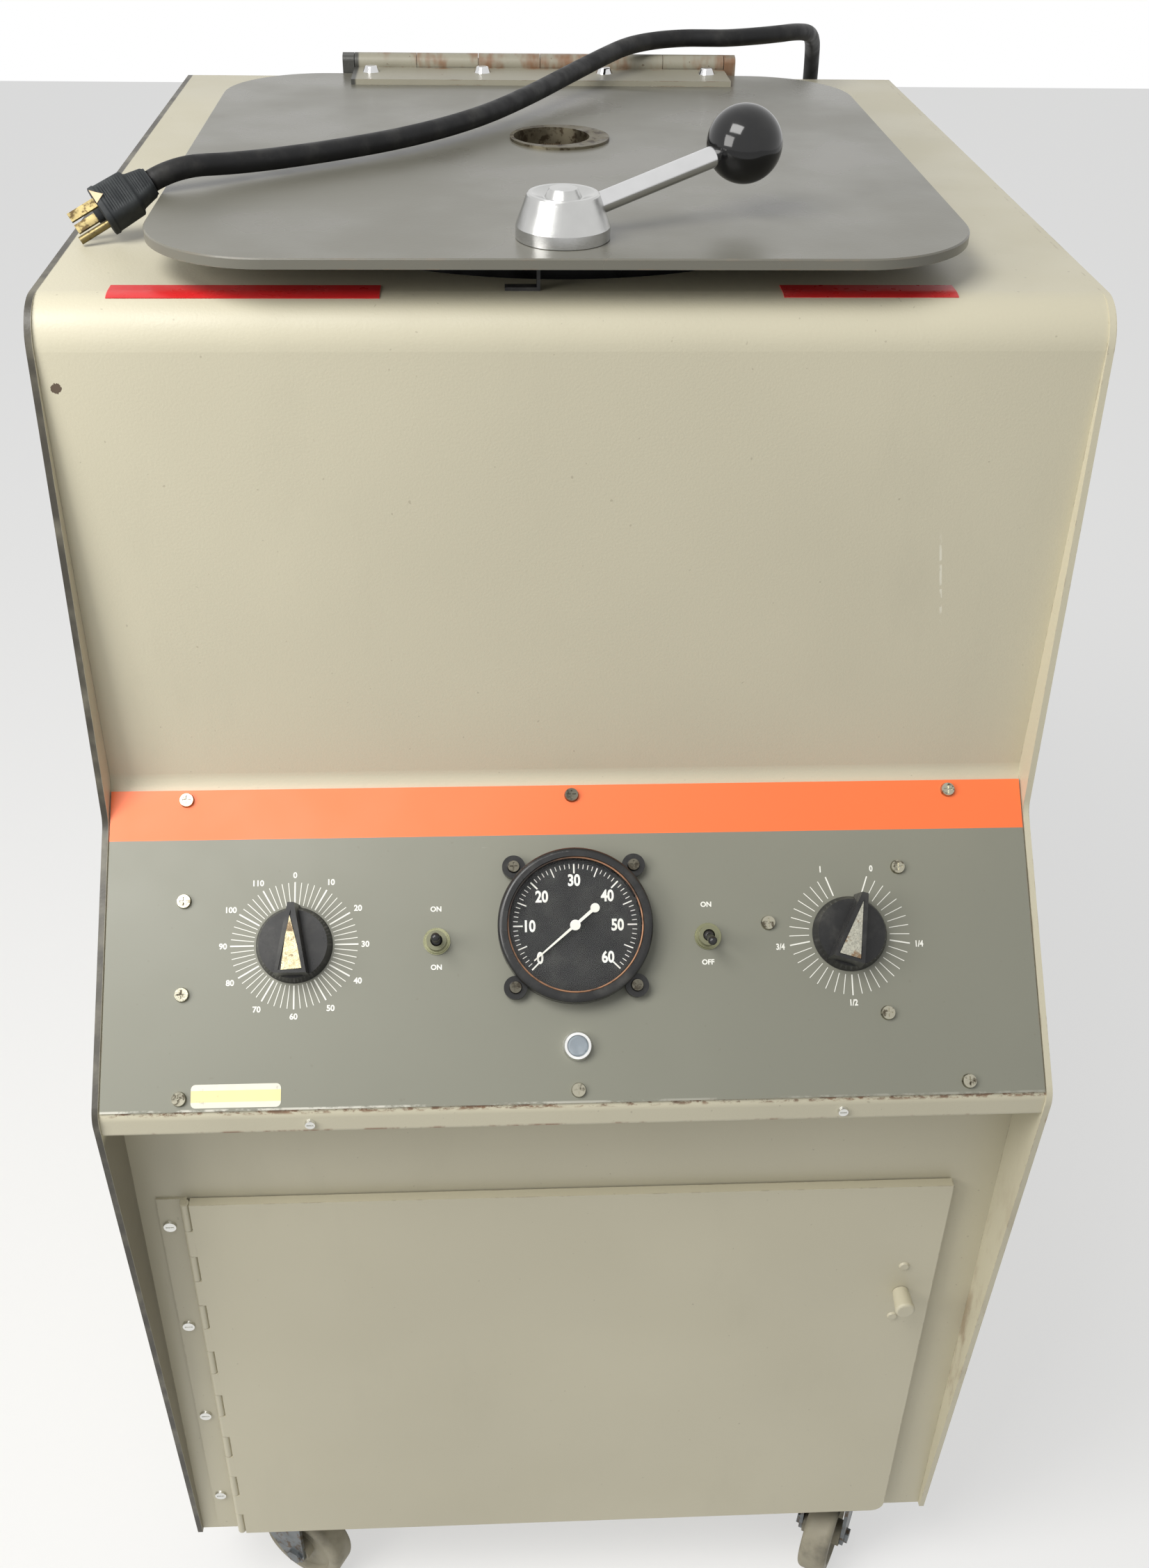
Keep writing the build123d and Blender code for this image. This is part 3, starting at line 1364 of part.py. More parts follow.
def make_caster_plates():
    """Each caster's mounting plate with its upper race, kingpin and nut, as one solid a caster."""
    with BuildPart() as plates:
        for x, y, turn in CASTER_PLACES.values():
            with BuildSketch(Plane.XY.offset(BASE)):
                with Locations((x, y)):
                    RectangleRounded(CASTER_PLATE, CASTER_PLATE, 6.0)
            extrude(amount=-CASTER_PLATE_SHEET)
            with BuildSketch(Plane.XY.offset(RACE_TOP)):
                with Locations((x, y)):
                    Circle(RACE_R)
            extrude(amount=-RACE, taper=12)
            with BuildSketch(Plane.XY.offset(RACE_TOP)):
                with Locations((x, y)):
                    Circle(KINGPIN_R)
            extrude(amount=KINGPIN_NUT_Z - RACE_TOP)
            with BuildSketch(Plane.XY.offset(KINGPIN_NUT_Z)):
                with Locations((x, y)):
                    RegularPolygon(KINGPIN_NUT_R, 6)
            extrude(amount=-KINGPIN_NUT)
    save(plates.part, "caster_plates")


def caster_plane(name):
    """Plane at a caster's kingpin on the floor: local x points from the kingpin to the axle."""
    x, y, turn = CASTER_PLACES[name]
    return Plane(origin=(x, y, 0), x_dir=(cos(radians(turn)), sin(radians(turn)), 0), z_dir=(0, 0, 1))


def make_caster_fork(name):
    """Swivel fork: crown over the race, two legs and the axle with its hexagon ends."""
    floor = caster_plane(name)
    side = Plane(origin=floor.origin, x_dir=floor.x_dir, z_dir=-floor.y_dir)
    half = FORK_WIDTH / 2
    with BuildPart() as fork:
        with BuildSketch(floor.offset(CROWN_TOP)):
            Circle(RACE_R)
        extrude(amount=-CROWN)
        for edge in (-half - FORK, half):
            with BuildSketch(side.offset(edge)):
                with BuildLine():
                    FilletPolyline(
                        (-FORK_FRONT, CROWN_TOP - 1.0),
                        (-FORK_FRONT, CROWN_TOP - 16.0),
                        (CASTER_TRAIL - AXLE_BOSS_R, WHEEL_R - AXLE_BOSS_R),
                        (CASTER_TRAIL + AXLE_BOSS_R, WHEEL_R - AXLE_BOSS_R),
                        (FORK_BACK, CROWN_TOP - 14.0),
                        (FORK_BACK, CROWN_TOP - 1.0),
                        radius=[0, 8.0, 8.0, 8.0, 10.0, 0],
                        close=True,
                    )
                make_face()
            extrude(amount=FORK)
        with BuildSketch(floor.offset(CROWN_TOP - 1.0)):
            with Locations(((FORK_BACK - FORK_FRONT) / 2, 0)):
                Rectangle(FORK_BACK + FORK_FRONT, FORK_WIDTH + 2 * FORK)
        extrude(amount=-FORK)
        axle = Plane(origin=floor.from_local_coords(Vector(CASTER_TRAIL, 0, WHEEL_R)), x_dir=floor.x_dir, z_dir=floor.y_dir)
        with BuildSketch(axle.offset(-half - FORK)):
            Circle(AXLE_R)
        extrude(amount=FORK_WIDTH + 2 * FORK)
        for edge in (-half - FORK - AXLE_NUT, half + FORK):
            with BuildSketch(axle.offset(edge)):
                RegularPolygon(AXLE_NUT_R, 6)
            extrude(amount=AXLE_NUT)
        with BuildSketch(floor.offset(CROWN_TOP)):
            Circle(KINGPIN_R + RUN)
        extrude(amount=-CROWN, mode=Mode.SUBTRACT)
    save(fork.part, f"caster_fork_{name}")


def make_caster_wheel(name):
    """Moulded wheel with its hub bosses, turned about the axle."""
    floor = caster_plane(name)
    centre = floor.from_local_coords(Vector(CASTER_TRAIL, 0, WHEEL_R))
    section = Plane(origin=centre, x_dir=(0, 0, 1), z_dir=floor.x_dir)
    half = WHEEL_WIDTH / 2
    boss = FORK_WIDTH / 2 - SIDE_PLAY
    with BuildPart() as wheel:
        with BuildSketch(section):
            with BuildLine():
                FilletPolyline(
                    (AXLE_R + RUN, -boss),
                    (WHEEL_HUB_R, -boss),
                    (WHEEL_HUB_R, 4.0 - half),
                    (WHEEL_WEB_R, 4.0 - half),
                    (WHEEL_WEB_R + 2.0, -half),
                    (WHEEL_R, -half),
                    (WHEEL_R, half),
                    (WHEEL_WEB_R + 2.0, half),
                    (WHEEL_WEB_R, half - 4.0),
                    (WHEEL_HUB_R, half - 4.0),
                    (WHEEL_HUB_R, boss),
                    (AXLE_R + RUN, boss),
                    radius=[0, 0, 0, 0, 0, 5.0, 5.0, 0, 0, 0, 0, 0],
                    close=True,
                )
            make_face()
        revolve(axis=Axis(centre, floor.y_dir))
    save(wheel.part, f"caster_wheel_{name}")


def corner_radii(points):
    """Bend radius at each inner point of a route, from the part of its two runs that it may use."""
    runs = [(Vector(*after) - Vector(*before)) for before, after in zip(points, points[1:])]
    room = [0.45 * run.length for run in runs]
    room[0] *= 2
    room[-1] *= 2
    radii = []
    for index in range(len(runs) - 1):
        half_turn = radians(runs[index].get_angle(runs[index + 1])) / 2
        radii.append(min(room[index], room[index + 1]) / tan(half_turn))
    return radii


def sweep_cord(points, name):
    """Round cord along a route of straight runs and tangent arcs; prints its length and tightest bend."""
    radii = corner_radii(points)
    with BuildPart() as cord:
        with BuildLine() as route:
            FilletPolyline(*points, radius=radii)
        path = route.wires()[0]
        start = Plane(origin=path @ 0, z_dir=path % 0)
        with BuildSketch(start):
            Circle(CORD_R)
        sweep(path=path)
    section = pi * CORD_R ** 2
    tightest = min(radii)
    print(name, "length", round(path.length, 1), "tightest bend", round(tightest, 1),
          "volume ratio", round(cord.part.volume / section / path.length, 4))
    save(cord.part, name)


def plug_plane():
    """Plane at the plug's blade face: local z points from the cord to the blades, rolled about it."""
    along = Vector(*PLUG_FACE) - Vector(*PLUG_BACK)
    across = Vector(0, 0, 1).cross(along).normalized()
    up = along.normalized().cross(across)
    rolled = across * cos(radians(PLUG_ROLL)) + up * sin(radians(PLUG_ROLL))
    return Plane(origin=Vector(*PLUG_FACE), x_dir=rolled, z_dir=along.normalized())


def make_plug_body():
    """Round rim at the blades, ribbed grip, then a taper to the sleeve that the cord enters."""
    face = plug_plane()
    length = (Vector(*PLUG_FACE) - Vector(*PLUG_BACK)).length
    pitch = (PLUG_GRIP - PLUG_RIM) / PLUG_RIBS
    with BuildPart() as plug:
        with BuildSketch(face):
            Circle(PLUG_R)
        extrude(amount=-PLUG_RIM)
        with BuildSketch(face):
            Circle(PLUG_R - PLUG_GROOVE)
        extrude(amount=-PLUG_GRIP)
        for index in range(PLUG_RIBS):
            with BuildSketch(face.offset(-PLUG_RIM - (index + 0.5) * pitch)):
                Circle(PLUG_R)
            extrude(amount=-pitch / 2)
        with BuildSketch(face.offset(-PLUG_GRIP)):
            Circle(PLUG_R - PLUG_GROOVE)
        with BuildSketch(face.offset(-length)):
            Circle(PLUG_TAIL_R)
        loft()
    save(plug.part, "plug_body")


def make_plug_prongs():
    """Two flat blades and the round earth pin, as separate solids."""
    face = plug_plane()
    high, thick, long = BLADE
    with BuildPart() as prongs:
        with BuildSketch(face):
            with Locations((-BLADE_SPACING / 2, 3.0), (BLADE_SPACING / 2, 3.0)):
                Rectangle(thick, high)
        extrude(amount=long)
        with BuildSketch(face):
            with Locations((0, 3.0 - EARTH_PIN_DROP)):
                Circle(EARTH_PIN_R)
        extrude(amount=EARTH_PIN)
    save(prongs.part, "plug_prongs")


def make_cord_gland():
    """Strain relief on the back panel: collar against the sheet, tapered sleeve along the cord."""
    x, y, z = CORD_BEHIND[-1]
    seat = Plane(origin=(x, BACK, z), x_dir=(1, 0, 0), z_dir=(0, 1, 0))
    with BuildPart() as gland:
        with BuildSketch(seat):
            Circle(GLAND_R)
        extrude(amount=GLAND_COLLAR)
        with BuildSketch(seat.offset(GLAND_COLLAR)):
            Circle(GLAND_TIP_R + 3.0)
        with BuildSketch(seat.offset(GLAND_LENGTH)):
            Circle(GLAND_TIP_R)
        loft()
        with BuildSketch(seat):
            Circle(CORD_R)
        extrude(amount=GLAND_LENGTH, mode=Mode.SUBTRACT)
    save(gland.part, "cord_gland")


def main():
    make_side_panel("side_panel_left", -1)
    make_side_panel("side_panel_right", 1)
    make_top_cover()
    make_lower_front_panel()
    make_back_panel()
    make_base_plate()
    make_control_plate()
    make_panel_screws()
    make_knob("timer_knob", TIMER, 0.0)
    make_knob("speed_knob", SPEED, SPEED_REST)
    make_timer_body()
    make_speed_control_body()
    make_toggle_bodies()
    make_panel_nuts()
    make_lamp_lens()
    make_toggle_bat("power_bat", POWER, 0.0)
    make_toggle_bat("brake_bat", BRAKE, -BAT_TILT)
    make_gauge_case()
    make_gauge_glass()
    make_gauge_pointer()
    make_bowl()
    make_gasket()
    make_lid()
    make_sight_ring()
    make_sight_screen()
    make_lid_hinge_leaf()
    make_lid_hinge_base()
    make_lid_hinge_screws()
    make_latch_hub()
    make_lever_rod()
    make_ball_knob()
    make_latch_cam()
    make_latch_keeper()
    make_shaft()
    make_head()
    for index in range(BUCKETS):
        make_bucket(index)
    make_motor()
    make_motor_mounts()
    make_motor_shelf()
    make_door_hinge_leaf()
    make_door_hinge_screws()
    make_door()
    make_door_knob()
    make_caster_plates()
    for name in CASTER_PLACES:
        make_caster_fork(name)
        make_caster_wheel(name)
    sweep_cord(CORD_OVER_LID, "cord_over_lid")
    sweep_cord(CORD_BEHIND, "cord_behind")
    make_plug_body()
    make_plug_prongs()
    make_cord_gland()


main()
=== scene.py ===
"""Dressed scene of the floor-standing centrifuge: camera, light, finishes and the fine pieces."""
from math import atan2, cos, pi, radians, sin

import bmesh
import bpy
from mathutils import Matrix, Vector


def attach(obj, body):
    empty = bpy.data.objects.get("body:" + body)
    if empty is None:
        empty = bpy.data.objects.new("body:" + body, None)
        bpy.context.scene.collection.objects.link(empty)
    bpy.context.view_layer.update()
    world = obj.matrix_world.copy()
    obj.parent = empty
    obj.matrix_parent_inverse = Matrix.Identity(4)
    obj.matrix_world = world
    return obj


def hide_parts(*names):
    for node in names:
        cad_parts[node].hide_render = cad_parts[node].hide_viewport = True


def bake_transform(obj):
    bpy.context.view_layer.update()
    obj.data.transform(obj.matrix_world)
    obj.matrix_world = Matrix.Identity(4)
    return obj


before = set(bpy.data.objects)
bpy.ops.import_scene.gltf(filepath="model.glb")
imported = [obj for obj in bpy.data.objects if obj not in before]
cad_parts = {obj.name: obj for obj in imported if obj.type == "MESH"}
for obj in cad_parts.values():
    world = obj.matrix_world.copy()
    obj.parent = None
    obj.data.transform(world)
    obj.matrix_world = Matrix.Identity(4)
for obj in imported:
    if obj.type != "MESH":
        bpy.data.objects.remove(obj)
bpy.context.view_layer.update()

MM = 0.001

# Directions of the frame
RIGHT = Vector((1.0, 0.0, 0.0))
LEFT = -RIGHT
FRONT = Vector((0.0, -1.0, 0.0))
UP = Vector((0.0, 0.0, 1.0))

# Places and sizes carried over from the CAD, in millimetres
KINK = Vector((0.0, -251.5, 757.0))
DESK_SLOPE = atan2(627.0 - 757.0, -389.5 + 251.5)
DESK_DOWN = Vector((0.0, cos(DESK_SLOPE), sin(DESK_SLOPE)))
DESK_OUT = Vector((0.0, sin(DESK_SLOPE), -cos(DESK_SLOPE)))
TIMER = (-180.3, 82.0)
POWER = (-89.2, 81.3)
GAUGE = (0.0, 73.4)
BRAKE = (86.4, 81.3)
SPEED = (179.3, 81.3)
LAMP = (0.0, 150.0)
TIMER_REST = -4.0                 # degrees clockwise from straight up
SPEED_REST = 17.0
BAND_EDGE = 12.6                  # lower edge of the orange band, down the desk
KNOB_GAP = 0.6
KNOB_HEIGHT = 22.0
BEND_CENTRE = (-204.5, 1062.0)    # Y and Z of the bend between the top and the upper front
BEND_R = 26.0
CORD_R = 6.5
PLUG_FACE = Vector((-281.4, -108.0, 1105.0))
PLUG_BACK = Vector((-252.0, -96.0, 1120.0))
PLUG_ROLL = 52.0                  # degrees round its own axis
CASTERS = ("front_left", "front_right", "rear_left", "rear_right")


# Colours and node trees

def rgb(red, green, blue):
    """A colour as it looks on a screen, 0 to 255, made linear."""
    parts = [value / 255.0 for value in (red, green, blue)]
    return tuple(p / 12.92 if p <= 0.04045 else ((p + 0.055) / 1.055) ** 2.4 for p in parts) + (1.0,)


def shade(colour, factor):
    return tuple(min(1.0, c * factor) for c in colour[:3]) + (1.0,)


class Finish:
    """A material built from nodes on object coordinates, which are the frame's own metres."""

    def __init__(self, name, **settings):
        self.material = bpy.data.materials.new(name)
        self.material.use_nodes = True
        self.tree = self.material.node_tree
        self.tree.nodes.clear()
        self.shader = self.add("ShaderNodeBsdfPrincipled")
        output = self.add("ShaderNodeOutputMaterial")
        self.tree.links.new(self.shader.outputs[0], output.inputs["Surface"])
        self.place = self.add("ShaderNodeTexCoord").outputs["Object"]
        for key, value in settings.items():
            self.set(key.replace("_", " ").title().replace("Ior", "IOR"), value)

    def add(self, kind, **settings):
        node = self.tree.nodes.new(kind)
        for key, value in settings.items():
            setattr(node, key, value)
        return node

    def put(self, socket, value):
        if isinstance(value, bpy.types.NodeSocket):
            self.tree.links.new(value, socket)
        else:
            socket.default_value = value

    def set(self, name, value):
        self.put(self.shader.inputs[name], value)

    def math(self, operation, first, second=0.0):
        node = self.add("ShaderNodeMath", operation=operation)
        self.put(node.inputs[0], first)
        self.put(node.inputs[1], second)
        return node.outputs[0]

    def times(self, first, *others):
        """The product of two or more masks."""
        for other in others:
            first = self.math("MULTIPLY", first, other)
        return first

    def size(self, value):
        """The value without its sign."""
        return self.math("ABSOLUTE", value)

    def axis(self, name):
        """One coordinate of the point, in metres."""
        if not hasattr(self, "split"):
            self.split = self.add("ShaderNodeSeparateXYZ")
            self.put(self.split.inputs[0], self.place)
        return self.split.outputs[name]

    def along(self, direction, origin):
        """Distance of the point from origin along direction, in metres."""
        moved = self.add("ShaderNodeVectorMath", operation="SUBTRACT")
        self.put(moved.inputs[0], self.place)
        moved.inputs[1].default_value = origin
        dot = self.add("ShaderNodeVectorMath", operation="DOT_PRODUCT")
        self.put(dot.inputs[0], moved.outputs[0])
        dot.inputs[1].default_value = direction
        return dot.outputs["Value"]

    def facing(self, direction):
        """How far the surface faces the direction, -1 to 1."""
        dot = self.add("ShaderNodeVectorMath", operation="DOT_PRODUCT")
        self.put(dot.inputs[0], self.add("ShaderNodeNewGeometry").outputs["Normal"])
        dot.inputs[1].default_value = direction
        return dot.outputs["Value"]

    def near(self, point, radius):
        """1 at the point, falling to 0 at the radius."""
        far = self.add("ShaderNodeVectorMath", operation="DISTANCE")
        self.put(far.inputs[0], self.place)
        far.inputs[1].default_value = point
        return self.ramp(far.outputs["Value"], radius, 0.0)

    def stretched(self, scale):
        node = self.add("ShaderNodeMapping")
        self.put(node.inputs[0], self.place)
        node.inputs["Scale"].default_value = scale
        return node.outputs[0]

    def noise(self, scale, detail=2.0, rough=0.5, at=None):
        node = self.add("ShaderNodeTexNoise")
        self.put(node.inputs["Vector"], at or self.place)
        for key, value in {"Scale": scale, "Detail": detail, "Roughness": rough}.items():
            node.inputs[key].default_value = value
        return node.outputs["Fac"]

    def ramp(self, value, low, high, start=0.0, end=1.0):
        """A smooth step: start where the value is at low, end where it is at high."""
        node = self.add("ShaderNodeMapRange", interpolation_type="SMOOTHSTEP")
        limits = {"Value": value, "From Min": low, "From Max": high, "To Min": start, "To Max": end}
        for key, number in limits.items():
            self.put(node.inputs[key], number)
        return node.outputs[0]

    def mix(self, share, first, second):
        """The first colour where the share is 0, the second where it is 1."""
        node = self.add("ShaderNodeMix", data_type="RGBA")
        self.put(node.inputs["Factor"], share)
        self.put(node.inputs[6], first)
        self.put(node.inputs[7], second)
        return node.outputs[2]

    def bump(self, height, strength, distance):
        node = self.add("ShaderNodeBump")
        self.put(node.inputs["Height"], height)
        node.inputs["Strength"].default_value = strength
        node.inputs["Distance"].default_value = distance
        self.set("Normal", node.outputs[0])

    def edges(self, radius):
        """1 along sharp edges, 0 on flats."""
        bevel = self.add("ShaderNodeBevel", samples=4)
        bevel.inputs["Radius"].default_value = radius
        plain = self.add("ShaderNodeNewGeometry").outputs["Normal"]
        dot = self.add("ShaderNodeVectorMath", operation="DOT_PRODUCT")
        self.put(dot.inputs[0], bevel.outputs[0])
        self.put(dot.inputs[1], plain)
        return self.ramp(dot.outputs["Value"], 0.98, 0.85)


def enamel(name, colour, rough=0.42, peel=0.25, dirt=0.5, chips=0.5, extra=None):
    """Stoved enamel: orange peel, faint clouds, specks of dirt and worn edges that show rust."""
    f = Finish(name)
    cloud = f.ramp(f.noise(2.6, 3.0), 0.32, 0.68)
    tone = f.mix(cloud, shade(colour, 0.95), shade(colour, 1.05))
    smear = f.ramp(f.noise(9.0, 5.0, 0.65, f.stretched((1.6, 1.6, 0.5))), 0.52, 0.82, 0.0, 0.34 * dirt)
    tone = f.mix(smear, tone, shade(colour, 0.72))
    speck = f.ramp(f.noise(260.0, 1.0), 0.76, 0.80, 0.0, 0.5 * dirt)
    tone = f.mix(speck, tone, rgb(96, 80, 60))
    worn = f.times(f.edges(0.0014), f.ramp(f.noise(60.0, 4.0, 0.7), 0.5, 0.62))
    bare = f.mix(f.noise(140.0), rgb(92, 62, 42), rgb(150, 134, 112))
    tone = f.mix(f.times(worn, chips), tone, bare)
    if extra:
        tone = extra(f, tone)
    f.set("Base Color", tone)
    f.set("Roughness", f.ramp(f.noise(12.0, 3.0), 0.3, 0.7, rough - 0.05, rough + 0.07))
    f.bump(f.noise(620.0, 2.0, 0.5), peel, 0.0004)
    return f.material


def metal(name, colour, rough=0.3, grain=None, stain=None, stain_share=0.0, marks=0.12, extra=None):
    """Bare or plated metal with a brushed grain and, where given, patches of stain."""
    f = Finish(name, metallic=1.0)
    tone = f.mix(f.noise(70.0, 3.0), shade(colour, 0.9), shade(colour, 1.08))
    if stain:
        spread = f.ramp(f.noise(150.0, 4.0, 0.65), 0.62 - 0.25 * stain_share, 0.72 - 0.2 * stain_share)
        tone = f.mix(f.times(spread, min(1.0, 0.35 + stain_share)), tone, stain)
    if extra:
        tone = extra(f, tone)
    f.set("Base Color", tone)
    f.set("Roughness", f.ramp(f.noise(90.0, 3.0), 0.3, 0.7, rough * 0.8, rough * 1.25))
    f.bump(f.noise(900.0, 2.0, 0.6, f.stretched(grain) if grain else None), marks, 0.0002)
    return f.material


GREY_DUST = (0.28, 0.27, 0.24, 1.0)


def plastic(name, colour, rough=0.25, marks=0.06, dust=0.25, dust_colour=GREY_DUST, extra=None, gloss=0.5):
    """Moulded plastic or rubber with a film of dust."""
    f = Finish(name)
    f.set("Specular IOR Level", gloss)
    film = f.ramp(f.noise(45.0, 4.0, 0.6), 0.45, 0.8, 0.0, dust)
    tone = f.mix(f.noise(18.0), shade(colour, 0.85), shade(colour, 1.15))
    tone = f.mix(film, tone, dust_colour)
    f.set("Base Color", extra(f, tone) if extra else tone)
    f.set("Roughness", f.ramp(f.noise(80.0, 3.0), 0.3, 0.75, rough * 0.85, min(1.0, rough * 1.3)))
    f.bump(f.noise(500.0, 3.0), marks, 0.0003)
    return f.material


# Meshes

def desk(across, down, rise=0.0):
    """A point in millimetres: across from the desk's middle, down from its top bend, above its face."""
    return KINK + Vector((across, 0.0, 0.0)) + DESK_DOWN * down + DESK_OUT * rise


def desk_ray(angle):
    """Direction in the desk's plane; the angle runs clockwise from straight up the slope."""
    a = radians(angle)
    return Vector((sin(a), 0, 0)) - DESK_DOWN * cos(a)


def mesh_object(name, points, faces, material, smooth=False):
    """A mesh object from points in millimetres of the shared frame."""
    mesh = bpy.data.meshes.new(name)
    mesh.from_pydata([tuple(Vector(p) * MM) for p in points], [], faces)
    mesh.validate()
    mesh.materials.append(material)
    for polygon in mesh.polygons:
        polygon.use_smooth = smooth
    made = bpy.data.objects.new(name, mesh)
    bpy.context.scene.collection.objects.link(made)
    return made


class Shapes:
    """Points and faces of one piece, gathered in millimetres."""

    def __init__(self):
        self.points = []
        self.faces = []

    def add(self, points, faces):
        base = len(self.points)
        self.points += [Vector(p) for p in points]
        self.faces += [tuple(base + index for index in face) for face in faces]

    def prism(self, ring, offset):
        """A closed slab from a flat ring of points, raised by the offset vector."""
        count = len(ring)
        walls = [(k, (k + 1) % count, count + (k + 1) % count, count + k) for k in range(count)]
        self.add(list(ring) + [Vector(p) + offset for p in ring],
                 [tuple(reversed(range(count)))] + [tuple(range(count, 2 * count))] + walls)

    def turned(self, profile, origin, out, across, count=48):
        """A ring: the closed profile's (radius, rise) pairs swept round the out direction."""
        up = out.cross(across)
        points = []
        for radius, rise in profile:
            points += [origin + out * rise + (across * cos(2 * pi * k / count)
                       + up * sin(2 * pi * k / count)) * radius for k in range(count)]
        faces = []
        for row in range(len(profile)):
            after = (row + 1) % len(profile)
            for k in range(count):
                j = (k + 1) % count
                faces.append((row * count + k, row * count + j, after * count + j, after * count + k))
        self.add(points, faces)

    def make(self, name, body, material, smooth=False, angle=None):
        made = mesh_object(name, self.points, self.faces, material, smooth)
        tidy = bmesh.new()
        tidy.from_mesh(made.data)
        bmesh.ops.recalc_face_normals(tidy, faces=tidy.faces)
        tidy.to_mesh(made.data)
        tidy.free()
        if angle:
            made.data.set_sharp_from_angle(angle=radians(angle))
        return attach(made, body)


INK = 0.12               # how thick a printed mark is
FIGURE_WEIGHT = 0.032    # how far the figures' outlines are widened, as a share of their size


def letters(shapes, text, centre, height, across, up, out, rise, narrow=1.0):
    """Adds flat raised figures, centred on a point, to the shapes."""
    curve = bpy.data.curves.new("figures", "FONT")
    curve.body = text
    curve.size = 1.0
    curve.offset = FIGURE_WEIGHT
    curve.resolution_u = 4
    holder = bpy.data.objects.new("figures", curve)
    bpy.context.scene.collection.objects.link(holder)
    bpy.context.view_layer.update()
    mesh = bpy.data.meshes.new_from_object(holder.evaluated_get(bpy.context.evaluated_depsgraph_get()))
    bpy.data.objects.remove(holder)
    flat = [v.co.copy() for v in mesh.vertices]
    low = Vector((min(p.x for p in flat), min(p.y for p in flat)))
    high = Vector((max(p.x for p in flat), max(p.y for p in flat)))
    scale = height / (high.y - low.y)
    middle = (low + high) / 2
    placed = [centre + out * rise + across * ((p.x - middle.x) * scale * narrow)
              + up * ((p.y - middle.y) * scale) for p in flat]
    faces = [tuple(p.vertices) for p in mesh.polygons]
    bpy.data.meshes.remove(mesh)
    count = len(placed)
    used = {}
    for face in faces:
        for k, first in enumerate(face):
            second = face[(k + 1) % len(face)]
            used[(first, second)] = used.get((first, second), 0) + 1
    rim = [edge for edge in used if (edge[1], edge[0]) not in used]
    lifted = [p + out * INK for p in placed]
    under = [tuple(reversed(face)) for face in faces]
    over = [tuple(count + k for k in face) for face in faces]
    walls = [(b, a, count + a, count + b) for a, b in rim]
    shapes.add(placed + lifted, under + over + walls)


def desk_around(place, angle, reach):
    """Across and down of the point at a reach from a place on the desk, at an angle as desk_ray takes it."""
    a = radians(angle)
    return place[0] + reach * sin(a), place[1] - reach * cos(a)


def desk_figures(shapes, text, across, down, height, rise, narrow=1.0):
    """Figures that stand upright on the desk's slope, centred on a point across and down it."""
    letters(shapes, text, desk(across, down), height, RIGHT, -DESK_DOWN, DESK_OUT, rise, narrow)


def desk_tick(shapes, centre, angle, inner, outer, width, rise):
    """One radial tick on the desk, at an angle as desk_ray takes it."""
    ray = desk_ray(angle)
    side = DESK_OUT.cross(ray)
    start = desk(*centre, rise)
    ring = [start + ray * inner - side * width / 2, start + ray * outer - side * width / 2,
            start + ray * outer + side * width / 2, start + ray * inner + side * width / 2]
    shapes.prism(ring, DESK_OUT * INK)


# Camera at the photograph's place and angle: lens in pixels, place in millimetres, turn in radians

PHOTO = (1652, 2255)
FOCAL = 2299.84
CENTRE = (818.8, 1126.2)
SENSOR = 36.0
CAMERA = Vector((-51.7, -1105.2, 1370.5))
YAW, PITCH, ROLL = 0.05814, 0.60198, -0.01878


def make_camera():
    """The camera, its lens shifted so that the picture's middle falls where the photograph's does."""
    ahead = Vector((sin(YAW) * cos(PITCH), cos(YAW) * cos(PITCH), -sin(PITCH)))
    right = Vector((cos(YAW), -sin(YAW), 0.0))
    down = ahead.cross(right)
    right, down = right * cos(ROLL) + down * sin(ROLL), down * cos(ROLL) - right * sin(ROLL)
    data = bpy.data.cameras.new("photo_camera")
    data.sensor_width = SENSOR
    data.lens = FOCAL * SENSOR / PHOTO[1]
    data.shift_x = (PHOTO[0] / 2 - CENTRE[0]) / PHOTO[1]
    data.shift_y = (CENTRE[1] - PHOTO[1] / 2) / PHOTO[1]
    data.clip_start = 0.02
    camera = bpy.data.objects.new("photo_camera", data)
    turn = Matrix((right, -down, -ahead)).transposed().to_4x4()
    camera.matrix_world = Matrix.Translation(CAMERA * MM) @ turn
    bpy.context.scene.collection.objects.link(camera)
    bpy.context.scene.camera = camera


make_camera()


# Floor, backdrop light and lamps

FLOOR_HALF = 6000.0    # millimetres from the middle to an edge
FLOOR_GLOW = 0.55      # share of plain white in the floor as the camera sees it
ROOM_LIGHT = 0.38


def make_stage():
    """A pale floor that looks nearly white to the camera and lights the object as a plain floor would."""
    f = Finish("studio_floor")
    f.set("Base Color", rgb(236, 235, 232))
    f.set("Roughness", 0.9)
    f.set("Specular IOR Level", 0.1)
    glow = f.add("ShaderNodeEmission")
    path = f.add("ShaderNodeLightPath")
    seen = f.math("MAXIMUM", path.outputs["Is Camera Ray"], path.outputs["Is Glossy Ray"])
    seen = f.math("MAXIMUM", seen, path.outputs["Is Transmission Ray"])
    blend = f.add("ShaderNodeMixShader")
    f.put(blend.inputs[0], f.times(seen, FLOOR_GLOW))
    f.put(blend.inputs[1], f.shader.outputs[0])
    f.put(blend.inputs[2], glow.outputs[0])
    output = [n for n in f.tree.nodes if n.type == "OUTPUT_MATERIAL"][0]
    f.put(output.inputs["Surface"], blend.outputs[0])
    corners = [(x * FLOOR_HALF, y * FLOOR_HALF, 0) for x, y in ((-1, -1), (1, -1), (1, 1), (-1, 1))]
    floor = mesh_object("studio_floor", corners, [(0, 1, 2, 3)], f.material)


